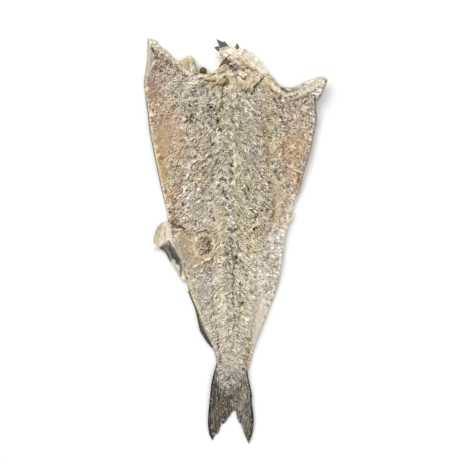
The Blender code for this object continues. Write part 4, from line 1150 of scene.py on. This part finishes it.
# Skin
def build_skin(material):
    """The skin below the flesh, whose thin lip shows round the edge."""
    far_lip = [1 - share for share in SKIN_LIP[::-1]]
    s = np.array(SKIN_LIP + list(np.linspace(0.05, 0.95, SKIN_ACROSS)) + far_lip)
    t = np.array(SKIN_LIP + list(np.linspace(0.05, 0.95, SKIN_ALONG)) + far_lip)
    x, y, s, t = patch(FISH_EDGES, s, t)
    near = np.minimum(np.minimum(s, 1 - s), 1 - t)
    base = lift(s, t)
    wrinkle = 0.25 * ripple(x / 4, y / 16, 81) + 0.15 * ripple(x / 1.8, y / 2.2, 82)
    bottom = base + (SKIN_THICKNESS - 0.5) * 0.4 + wrinkle * 0.35 * (near > 0.03)
    lip_height = LIP_HEIGHT + 0.5 * waves(x, y, 12, 83)
    top = base + SKIN_THICKNESS + (lip_height - SKIN_THICKNESS) * (1 - smooth_step(near, 0.0034, 0.0065))
    bottom = np.minimum(bottom, top - 0.3)

    u = np.abs(2 * s - 1)
    belly = smooth_step(u, 0.55, 0.9) * smooth_step(t, 0.3, 0.6)
    colours = painted(plain(x, SKIN_COLOUR), SKIN_BELLY_COLOUR, belly)
    mottle = waves(x, y, 13, 84) + 0.5 * waves(x, y, 4.5, 85) + 0.35 * waves(x, y, 1.6, 86)
    scales = crests(x / 2.4 + 0.5 * np.sin(y / 2), y / 2.4, 87)
    colours = colours * (1 + 0.38 * np.clip(mottle, -1, 1) + 0.12 * scales)[..., None]
    dusting = smooth_step(waves(x, y, 2, 88), 0.3, 0.7) * smooth_step(waves(x, y, 18, 89), -0.4, 0.5)
    colours = painted(colours, SKIN_RIM_COLOUR, 0.35 * dusting)
    lateral = np.exp(-(((u - 0.36 - 0.04 * np.sin(6 * t)) / 0.012) ** 2))
    colours = painted(colours, LATERAL_LINE_COLOUR, 0.6 * lateral)
    left_line = between(y, 40, 75, 170, 185) * (s < 0.5)
    right_line = between(y, 45, 75, 185, 200) * (s > 0.5)
    # The lip is pale partly by its own colour, partly as painted light against the shade on edges.
    rim = painted(plain(x, SKIN_RIM_COLOUR), SKIN_LINE_COLOUR, left_line)
    rim = painted(rim, RIGHT_LINE_COLOUR, right_line)
    make_slab("skin", x, y, top, bottom, mixed(colours, rim, near < 0.02), material)


# Fins
def fin_field(root, outer, grid, sides=None):
    """Plan, shares and ray relief of a fin from its root to its outer edge, whose sides may be given."""
    rays, across, along = grid
    west, east = sides or [[root[k], outer[k]] for k in (0, -1)]
    s, t = np.linspace(0, 1, across + 1), np.linspace(0, 1, along + 1)
    x, y, s, t = patch((root, outer, west, east), s, t, sharp_north=True)
    branch = smooth_step(t, 0.45, 0.75)
    wobble = 0.06 * ripple(s * 5, t * 3, 91)
    single = np.cos(2 * math.pi * rays * (s + wobble / rays))
    double = np.cos(4 * math.pi * rays * (s + wobble / rays))
    ray = single * (1 - branch) + double * branch * 0.8
    return x, y, s, t, ray


def build_tail(material):
    """The forked tail fin: ribbed, dark and dotted, with a salt-grey root under the flesh's tongue."""
    x, y, s, t, ray = fin_field(TAIL_ROOT, TAIL_FRAY, TAIL_GRID, (TAIL_LEFT, TAIL_RIGHT))
    middle = 2.1 + 2.6 * (1 - t) ** 1.5 + 0.5 * np.sin(6 * s + 3 * t) + 0.35 * ripple(x / 7, y / 9, 92)
    half = 0.55 + 0.42 * ray * np.sin(math.pi * np.clip(t, 0.08, 0.8)) + 0.18 * ripple(x / 1.6, y / 2.6, 93)
    half = np.maximum(half, 0.22) * (1 - 0.55 * smooth_step(t, 0.8, 1))
    colours = painted(plain(x, TAIL_LEFT_COLOUR), TAIL_RIGHT_COLOUR, smooth_step(s, 0.4, 0.6))
    root = 1 - smooth_step(t + 0.12 * waves(x, y, 8, 94), 0.22, 0.42)
    colours = painted(colours, TAIL_ROOT_COLOUR, 0.75 * root)
    colours = stroked(colours, strokes(x, y, TAIL_STROKES)[1], TAIL_STROKES)
    streaks = ripple(s * 34, t * 9, 95) + 0.7 * ripple(s * 60, t * 22, 97)
    grit = ripple(x / 1.4, y / 1.6, 99) + 0.5 * crests(x / 3.2, y / 3.6, 100)
    edge = smooth_step(np.minimum(s, 1 - s), 0.01, 0.1)
    tone = 0.3 * ray + 0.5 * np.clip(streaks, -1, 1.4) + 0.5 * grit - 0.5 * (1 - edge) - 0.15
    specks = smooth_step(ripple(x / 1.8 + 0.4 * y, y / 3.4, 96), 0.3, 0.62)
    specks = specks * smooth_step(waves(x, y, 7, 98), -0.5, 0.4)
    colours = painted(toned(colours, tone), TAIL_SPECK_COLOUR, 0.8 * specks)
    make_slab("tail_fin", x, y, middle + half, np.maximum(middle - half, 0.05), colours, material)


def build_front_fin(material):
    """The front anal fin: a pale folded flap above, a dark ribbed membrane below, a pale strip outside it."""
    x, y, s, t, _ = fin_field(FRONT_FIN_ROOT, FRONT_FIN_EDGE, FRONT_FIN_GRID)
    fold_height, fold_shares = strokes(x, y, STROKES)
    wrinkle = ripple(x / 7, y / 12, 102) + 0.5 * ripple(x / 2.4, y / 4, 103) + 0.3 * waves(x, y, 1.5, 104)
    middle = 3.6 + 2.6 * t * np.sin(math.pi * s) + 0.4 * np.sin(9 * s)
    middle = middle + 0.7 * wrinkle + 0.6 * np.clip(fold_height, -2, 2)
    half = np.maximum((0.8 + 0.3 * wrinkle) * (1 - 0.6 * smooth_step(t, 0.85, 1)), 0.25)
    colours = stroked(plain(x, FIN_PALE_COLOUR), fold_shares, STROKES)
    fine = crests(x / 2.2, y / 3.4, 105) + 0.6 * waves(x, y, 1.6, 106)
    # Lighter where its wrinkles rise, painted light on their crests, and a fine grain.
    colours = colours * (0.82 * (1 + 0.16 * fine + 0.14 * np.clip(wrinkle, -1, 1)))[..., None]
    make_slab("front_fin", x, y, middle + half, middle - half, colours, material)


def build_rear_fin(material):
    """The rear anal fin, a dark ribbed sliver along the edge."""
    x, y, s, t, ray = fin_field(REAR_FIN_ROOT, REAR_FIN_EDGE, REAR_FIN_GRID)
    x = x + 2.0 * t * (1 - smooth_step(s, 0.3, 0.62))
    middle = 3.6 + 0.6 * t * np.sin(math.pi * s) + 0.4 * np.sin(9 * s)
    half = np.maximum(0.65 + 0.25 * ray + 0.15 * waves(x, y, 2, 111), 0.25)
    shade = 1 + 0.35 * ray + 0.35 * waves(x, y, 3, 112)
    pale_tips = 0.5 * smooth_step(t, 0.9, 1) * smooth_step(waves(x, y, 5, 113), 0, 0.5)
    colours = painted(plain(x, FIN_DARK_COLOUR) * shade[..., None], FIN_PALE_COLOUR, pale_tips)
    make_slab("rear_fin", x, y, middle + half, middle - half, colours, material)


def build_dorsal_fins(material):
    """The three fins of the back, pressed flat against the middle of the skin side."""
    parts = []
    for tail_end, head_end, reach in DORSAL_FINS:
        shares = np.linspace(head_end, tail_end, len(DORSAL_PROFILE))
        root_x, root_y, _, _ = patch(FISH_EDGES, np.array([0.5]), shares)
        root = list(zip(root_x[0], root_y[0]))
        tips = [(px + reach * part, py - 0.4 * reach * part) for (px, py), part in zip(root, DORSAL_PROFILE)]
        x, y, s, t, ray = fin_field(root, tips, DORSAL_GRID)
        under = np.clip(0.16 - 0.12 * ray + 0.06 * waves(x, y, 3, 171), 0.02, 0.4)
        shade = 1.2 + 0.3 * ray + 0.3 * waves(x, y, 4, 172)
        colours = plain(x, FIN_DARK_COLOUR) * shade[..., None]
        colours = painted(colours, SKIN_BELLY_COLOUR, 0.4 * smooth_step(t, 0.8, 1))
        points, faces = slab_mesh(x, y, np.full(x.shape, 0.9), under)
        parts.append((points, faces, both_sides(colours)))
    make_piece("dorsal_fins", *joined(parts), material)


# Tubes: the nape stump, the splinters and the bone end
def tube(path, radii, grid, bump, seed, flat=1.0):
    """Points and faces of a closed lumpy tube along a path, thinner upright than across by flat."""
    rings, sides = grid
    shares = np.linspace(0, 1, rings + 1)
    centres = along_curve(path, shares)
    sizes = np.interp(shares, np.linspace(0, 1, len(radii)), radii)
    turn = np.linspace(0, 2 * math.pi, sides, endpoint=False)[:, None]
    points = []
    for k in range(rings + 1):
        ahead = centres[min(k + 1, rings)] - centres[max(k - 1, 0)]
        ahead = ahead / max(np.linalg.norm(ahead), 1e-9)
        side = np.cross(ahead, (0, 0, 1))
        side = side / max(np.linalg.norm(side), 1e-9)
        up = np.cross(side, ahead)
        points.append(centres[k] + sizes[k] * (np.cos(turn) * side + flat * np.sin(turn) * up))
    points = np.array(points)
    along = shares[:, None] * np.ones(sides)[None]
    around = np.linspace(0, 1, sides, endpoint=False)[None] * np.ones(rings + 1)[:, None]
    round_x, round_y = np.cos(around * 2 * math.pi) * 1.7, np.sin(around * 2 * math.pi) * 1.7
    lumps = ripple(along * rings / 7 + round_x, round_y + 9, seed)
    lumps = lumps + 0.5 * ripple(along * rings / 3 + 2 * round_x, 2 * round_y + 5, seed + 1)
    points = points + (points - centres[:, None]) * (bump * lumps)[..., None]
    faces = []
    for k in range(rings):
        for a in range(sides):
            b = (a + 1) % sides
            faces.append([k * sides + a, (k + 1) * sides + a, (k + 1) * sides + b, k * sides + b])
    faces.append(list(range(sides)))
    faces.append([rings * sides + a for a in range(sides)][::-1])
    return points.reshape(-1, 3), faces


def uneven(points, colour, amount, size, seed):
    """One linear colour for each point, lighter and darker by an amount in lumps of a size."""
    tone = 1 + amount * waves(points[:, 0], points[:, 1], size, seed)
    return np.clip(colour * tone[:, None], 0.01, 0.9)


def joined(parts):
    """Several point and face lists with their colours as one."""
    points, faces, tints, offset = [], [], [], 0
    for part_points, part_faces, part_tints in parts:
        points.append(part_points)
        tints.append(part_tints)
        faces += [[number + offset for number in face] for face in part_faces]
        offset += len(part_points)
    return np.concatenate(points), faces, np.concatenate(tints)


def build_nape(material):
    """The knotted stump of the nape: a ragged cream roll with streaks along it."""
    path, radii = zip(*NAPE_PATH)
    rings, sides = NAPE_GRID
    points, faces = tube(path, radii, NAPE_GRID, bump=0.2, seed=121, flat=0.85)
    along = np.repeat(np.linspace(0, 1, rings + 1), sides)
    turn = np.tile(np.linspace(0, 1, sides, endpoint=False), rings + 1)
    x, y = points[:, 0], points[:, 1]
    across = np.cos(turn * 2 * math.pi) * 5.5
    streak = threads(along * 2.6, across + 7 + 0.4 * ripple(along * 9, across, 128), 122)
    lump = waves(x, y, 6, 124) + 0.6 * waves(x, y, 3, 125)
    fine = crests(x / 2.2, y / 2.2, 123)
    fold_height, fold_shares = strokes(x, y, STROKES)
    points[:, 2] += 0.36 * streak + 0.52 * lump + 0.18 * fine + 0.8 * fold_height
    colours = stroked(plain(x, NAPE_COLOUR), fold_shares, STROKES)
    patches = smooth_step(waves(x, y, 7, 126) + 0.4 * waves(x, y, 3, 127), 0.0, 0.7)
    colours = painted(colours, NAPE_PATCH_COLOUR, 0.5 * patches)
    # Painted light and shade: lighter on the stump's raised lumps and crests, darker between; streaks are
    # fibres.
    tone = 0.26 * (streak - 0.3) + 0.17 * np.clip(lump, -1, 1) + 0.13 * fine
    grain = np.full(len(points), 0.4)
    flow = np.stack([along * 26, turn * 60], -1)
    make_piece("nape", points, faces, toned(colours * 0.88, tone), material, grain, flow)


def build_splinters(material):
    """Dark spikes of skin at the nape, the fin's barb, the right edge's whisker, the painted shadow under the
    nape.
    """
    parts = []
    for k, (root, tip, radius) in enumerate(SPLINTERS):
        root, tip = np.array(root, float), np.array(tip, float)
        bend = (root + tip) / 2 + np.array([0.8, -0.6, 0.8]) * (1 if k % 2 else -1)
        radii = [radius * 1.2, radius * 0.95, 0.2]
        points, faces = tube([root, bend, tip], radii, SPLINTER_GRID, bump=0.25, seed=131 + k, flat=0.55)
        shade = linear(*(NAPE_COLOUR if k in PALE_SPLINTERS else SPIKE_COLOUR)) * 0.8
        parts.append((points, faces, uneven(points, shade, 0.5, 2, 132)))
    # The dark tube in the gap under the nape is painted shadow.
    points, faces = tube(NAPE_SHADOW_PATH, NAPE_SHADOW_RADII, NAPE_SHADOW_GRID, bump=0.25, seed=139, flat=0.6)
    parts.append((points, faces, uneven(points, linear(*NAPE_SHADOW_COLOUR), 0.5, 3, 133)))
    make_piece("splinters", *joined(parts), material)


def build_bone(material):
    """The round dark end of a bone in the collar's notch."""
    x, y, z = BONE_END
    path = [
        (x, y, z - BONE_RADIUS), (x + 0.21, y, z - 1.5),
        (x + 0.02, y + 0.1, z + 1.5), (x + 0.03, y, z + BONE_RADIUS * 0.8),
    ]
    radii = [BONE_RADIUS * 0.55, BONE_RADIUS * 0.95, BONE_RADIUS * 0.9, BONE_RADIUS * 0.2]
    points, faces = tube(path, radii, BONE_GRID, bump=0.08, seed=141)
    make_piece("bone_end", points, faces, uneven(points, linear(*BONE_COLOUR), 0.4, 1.5, 142), material)


# Scattered pieces on the flesh
def surface(field):
    """Points of the flesh's top with their upward normals and the areas that they stand for."""
    point = np.stack([field.x, field.y, field.top], -1)
    normal = np.cross(np.gradient(point, axis=0), np.gradient(point, axis=1))
    area = np.linalg.norm(normal, axis=-1)
    return point, normal / np.maximum(area, 1e-9)[..., None], area


def scattered(draw, weight, count):
    """Numbers of the grid points that draws pick, as often as their weights say."""
    weight = weight.ravel()
    return draw.choice(weight.size, count, p=weight / weight.sum())


def repeated(faces, corners, count):
    """The faces of one small form for a count of them that follow each other, each with as many corners."""
    faces = np.array(faces)
    return (faces[None] + corners * np.arange(count)[:, None, None]).reshape(-1, faces.shape[1]).tolist()


def build_salt(field, material):
    """Grains of coarse salt, thickest on the upper left and along the loins."""
    point, normal, area = surface(field)
    draw = np.random.RandomState(151)
    dense = SALT_EVERYWHERE
    for px, py, rx, ry, strength in SALT_PLACES:
        dense = dense + strength * blob(field.x, field.y, px, py, rx, ry)
    weight = area * dense * (1 - 0.8 * field.smooth) * (field.gap > 2.5)
    weight = weight * smooth_step(waves(field.x, field.y, 9, 152), -0.6, 0.5)
    picked = scattered(draw, weight, SALT_GRAINS)
    corners = np.array([(1, 0, 0), (-1, 0, 0), (0, 1, 0), (0, -1, 0), (0, 0, 1), (0, 0, -1)], float)
    sides = [(0, 2, 4), (2, 1, 4), (1, 3, 4), (3, 0, 4), (2, 0, 5), (1, 2, 5), (3, 1, 5), (0, 3, 5)]
    size = 0.42 + 0.6 * draw.rand(SALT_GRAINS) ** 2.5
    shape = corners[None] * size[:, None, None] * draw.uniform(0.7, 1.3, (SALT_GRAINS, 6, 1))
    turn = draw.uniform(0, 2 * math.pi, SALT_GRAINS)
    cos, sin = np.cos(turn)[:, None], np.sin(turn)[:, None]
    turned = np.stack([
        shape[..., 0] * cos - shape[..., 1] * sin,
        shape[..., 0] * sin + shape[..., 1] * cos,
        shape[..., 2] * 0.8,
    ], -1)
    centre = point.reshape(-1, 3)[picked] + normal.reshape(-1, 3)[picked] * (size * 0.25)[:, None]
    centre[:, :2] += draw.uniform(-0.4, 0.4, (SALT_GRAINS, 2))
    points = (turned + centre[:, None]).reshape(-1, 3)
    tints = np.repeat(linear(*SALT_COLOUR) * draw.uniform(0.8, 1.08, (SALT_GRAINS, 1)), 6, axis=0)
    make_piece("salt", points, repeated(sides, 6, SALT_GRAINS), tints, material)


def build_flakes(field, material):
    """Torn slivers of flesh that stand off the surface, along the chevrons of the muscle."""
    point, _, area = surface(field)
    draw = np.random.RandomState(161)
    weight = area * (1 - 0.5 * smooth_step(-field.y, 0, 50)) * (1 - 0.93 * field.smooth) * (field.gap > 4)
    weight = weight * (0.25 + smooth_step(field.tone, 0.0, 0.5))
    picked = scattered(draw, weight, FLAKE_COUNT)
    u = (2 * field.s - 1).ravel()[picked]
    lean = np.where(u < 0, CHEVRON_TURN, math.pi - CHEVRON_TURN) + draw.normal(0, 0.5, FLAKE_COUNT)
    lean = lean + math.pi * (draw.rand(FLAKE_COUNT) < 0.5)
    length = 2.4 + 4.6 * draw.rand(FLAKE_COUNT) ** 1.6
    width = length * draw.uniform(0.11, 0.22, FLAKE_COUNT)
    rise = draw.uniform(0.1, 0.45, FLAKE_COUNT)
    bend = draw.normal(0, 0.5, FLAKE_COUNT)
    share = np.linspace(0, 1, FLAKE_RINGS)
    profile = np.sqrt(np.clip(np.sin(math.pi * (0.08 + 0.88 * share)), 0, 1))
    turn = lean[:, None] + bend[:, None] * (share - 0.5)[None]
    run = length[:, None] * (share - 0.5)[None]
    climb = rise[:, None] * length[:, None] * (share[None] ** 1.5) * 0.6 - 0.25
    way = np.stack([run * np.cos(turn), run * np.sin(turn), climb], -1)
    centre = point.reshape(-1, 3)[picked][:, None] + way
    side = np.stack([-np.sin(turn), np.cos(turn), np.zeros(turn.shape)], -1)
    half = (width[:, None] * profile[None])[..., None]
    thick = 0.3 * half
    up = np.array([0, 0, 1.0])
    section = [centre + side * half, centre + up * (thick + 0.12), centre - side * half, centre - up * thick]
    points = np.stack(section, 2).reshape(-1, 3)
    walls = []
    for k in range(FLAKE_RINGS - 1):
        for a in range(4):
            b = (a + 1) % 4
            walls.append((k * 4 + a, k * 4 + b, (k + 1) * 4 + b, (k + 1) * 4 + a))
    caps = [[3, 2, 1, 0], [(FLAKE_RINGS - 1) * 4 + a for a in range(4)]]
    corners = FLAKE_RINGS * 4
    faces = repeated(walls, corners, FLAKE_COUNT) + repeated(caps, corners, FLAKE_COUNT)
    tints = painted(field.colours.reshape(-1, 3)[picked], FLAKE_COLOUR, 0.35)
    tints = np.clip(tints * draw.uniform(0.78, 1.15, (FLAKE_COUNT, 1)), 0.02, 0.9)
    make_piece("flakes", points, faces, np.repeat(tints, corners, axis=0), material)


# Materials
def fish_material(name, roughness, grain_mm, tone, bump_mm, specular=0.35, thread=0.0, grey=0.0):
    """A dry matt material: the vertices' colour with fine pale threads, grain and bump from noise."""
    material = bpy.data.materials.new(name)
    material.use_nodes = True
    nodes, links = material.node_tree.nodes, material.node_tree.links
    shader = nodes["Principled BSDF"]
    shader.inputs["Specular IOR Level"].default_value = specular
    place = nodes.new("ShaderNodeTexCoord")

    def attribute(layer):
        """A node that reads one of the mesh's layers."""
        node = nodes.new("ShaderNodeAttribute")
        node.attribute_name = layer
        return node

    def noise_level(size, detail, vector):
        """Noise from about 0 to 1 with lumps of a size."""
        node = nodes.new("ShaderNodeTexNoise")
        node.inputs["Scale"].default_value = 1 / size
        node.inputs["Detail"].default_value = detail
        links.new(vector, node.inputs["Vector"])
        return node.outputs["Fac"]

    def ranged(value, from_low, from_high, to_low, to_high):
        """A value moved from one range to another and kept within it."""
        node = nodes.new("ShaderNodeMapRange")
        limits = zip(("From Min", "From Max", "To Min", "To Max"), (from_low, from_high, to_low, to_high))
        for socket, limit in limits:
            node.inputs[socket].default_value = limit
        links.new(value, node.inputs["Value"])
        return node.outputs["Result"]

    def maths(operation, first, second):
        """A sum or product of a value and another value or number."""
        node = nodes.new("ShaderNodeMath")
        node.operation = operation
        links.new(first, node.inputs[0])
        if isinstance(second, float):
            node.inputs[1].default_value = second
        else:
            links.new(second, node.inputs[1])
        return node.outputs["Value"]

    grain = noise_level(grain_mm * MM, 2.0, place.outputs["Object"])
    level = ranged(grain, 0.3, 0.7, -tone, tone)
    if thread:
        fibre = noise_level(THREAD_MM, 1.0, attribute("flow").outputs["Vector"])
        middle = maths("ABSOLUTE", maths("SUBTRACT", fibre, 0.5), 0.0)
        level = maths("ADD", level, ranged(middle, 0.0, 0.13, thread, -0.5 * thread))
    level = maths("MULTIPLY", level, attribute("grain").outputs["Fac"])
    colour = nodes.new("ShaderNodeVectorMath")
    colour.operation = "MULTIPLY_ADD"
    links.new(attribute("tint").outputs["Color"], colour.inputs[0])
    links.new(maths("ADD", maths("MULTIPLY", level, 1 - 2.5 * grey), 1.0), colour.inputs[1])
    links.new(maths("MULTIPLY", level, grey), colour.inputs[2])
    links.new(colour.outputs["Vector"], shader.inputs["Base Color"])
    links.new(ranged(grain, 0.0, 1.0, roughness - 0.12, roughness + 0.12), shader.inputs["Roughness"])
    bump = nodes.new("ShaderNodeBump")
    bump.inputs["Distance"].default_value = bump_mm * MM
    bump.inputs["Strength"].default_value = 0.7
    links.new(level, bump.inputs["Height"])
    links.new(bump.outputs["Normal"], shader.inputs["Normal"])
    return material


def floor_material():
    """Plain pale matt floor."""
    material = bpy.data.materials.new("floor")
    material.use_nodes = True
    shader = material.node_tree.nodes["Principled BSDF"]
    shader.inputs["Base Color"].default_value = (0.94, 0.94, 0.94, 1)
    shader.inputs["Roughness"].default_value = 0.9
    shader.inputs["Specular IOR Level"].default_value = 0.1
    return material


# Setting
def build_floor():
    """A plain pale floor just below the fish."""
    mesh = bpy.data.meshes.new("floor")
    corners = [(x * FLOOR_HALF, y * FLOOR_HALF, 0) for x, y in ((-1, -1), (1, -1), (1, 1), (-1, 1))]
    mesh.from_pydata(corners, [], [(0, 1, 2, 3)])
    mesh.materials.append(floor_material())
    floor = placed("floor", mesh)
    floor.location.z = -FLOOR_DROP


def area_light(name, place, power, size):
    """A square soft light that points at the middle of the fish."""
    light = bpy.data.lights.new(name, "AREA")
    light.energy = power
    light.size = size
    lamp = placed(name, light)
    lamp.location = place
    lamp.rotation_euler = (-Vector(place)).to_track_quat("-Z", "Y").to_euler()


def build_setting():
    """Soft studio light and the camera, straight above the fish as in the photograph."""
    world = bpy.data.worlds.new("world")
    bpy.context.scene.world = world
    world.use_nodes = True
    world.node_tree.nodes["Background"].inputs["Color"].default_value = (1, 1, 1, 1)
    world.node_tree.nodes["Background"].inputs["Strength"].default_value = WORLD_LIGHT
    for name, place, power, size in LIGHTS:
        area_light(name, place, power, size)
    camera_data = bpy.data.cameras.new("camera")
    camera_data.sensor_width = SENSOR_MM
    camera_data.lens = SENSOR_MM * CAMERA_HEIGHT / (PHOTO_SIDE * PIXEL_MM * MM)
    camera_data.clip_end = FAR_CLIP
    camera = placed("camera", camera_data)
    centre_x, centre_y = at_pixel(PHOTO_SIDE / 2, PHOTO_SIDE / 2)
    camera.location = (centre_x * MM, centre_y * MM, CAMERA_HEIGHT)
    bpy.context.scene.camera = camera
    bpy.context.scene.view_settings.view_transform = "Standard"


def main():
    """Builds every piece of the fish over its frame, then the floor, the lights and the camera."""
    flesh_material = fish_material("dried_flesh_look", 0.78, 1.2, 0.175, 0.5, thread=0.74, grey=0.22)
    skin_material = fish_material("dried_skin_look", 0.6, 1.1, 0.2, 0.2, specular=0.45)
    fin_material = fish_material("dried_fin_look", 0.6, 0.6, 0.2, 0.15, specular=0.45)
    salt_material = fish_material("salt_look", 0.5, 0.5, 0.05, 0.05, specular=0.5)
    field = flesh_field()
    build_flesh(field, flesh_material)
    build_skin(skin_material)
    build_tail(fin_material)
    build_front_fin(fin_material)
    build_rear_fin(fin_material)
    build_dorsal_fins(fin_material)
    build_nape(flesh_material)
    build_splinters(skin_material)
    build_bone(skin_material)
    build_flakes(field, flesh_material)
    build_salt(field, salt_material)
    build_floor()
    build_setting()


main()
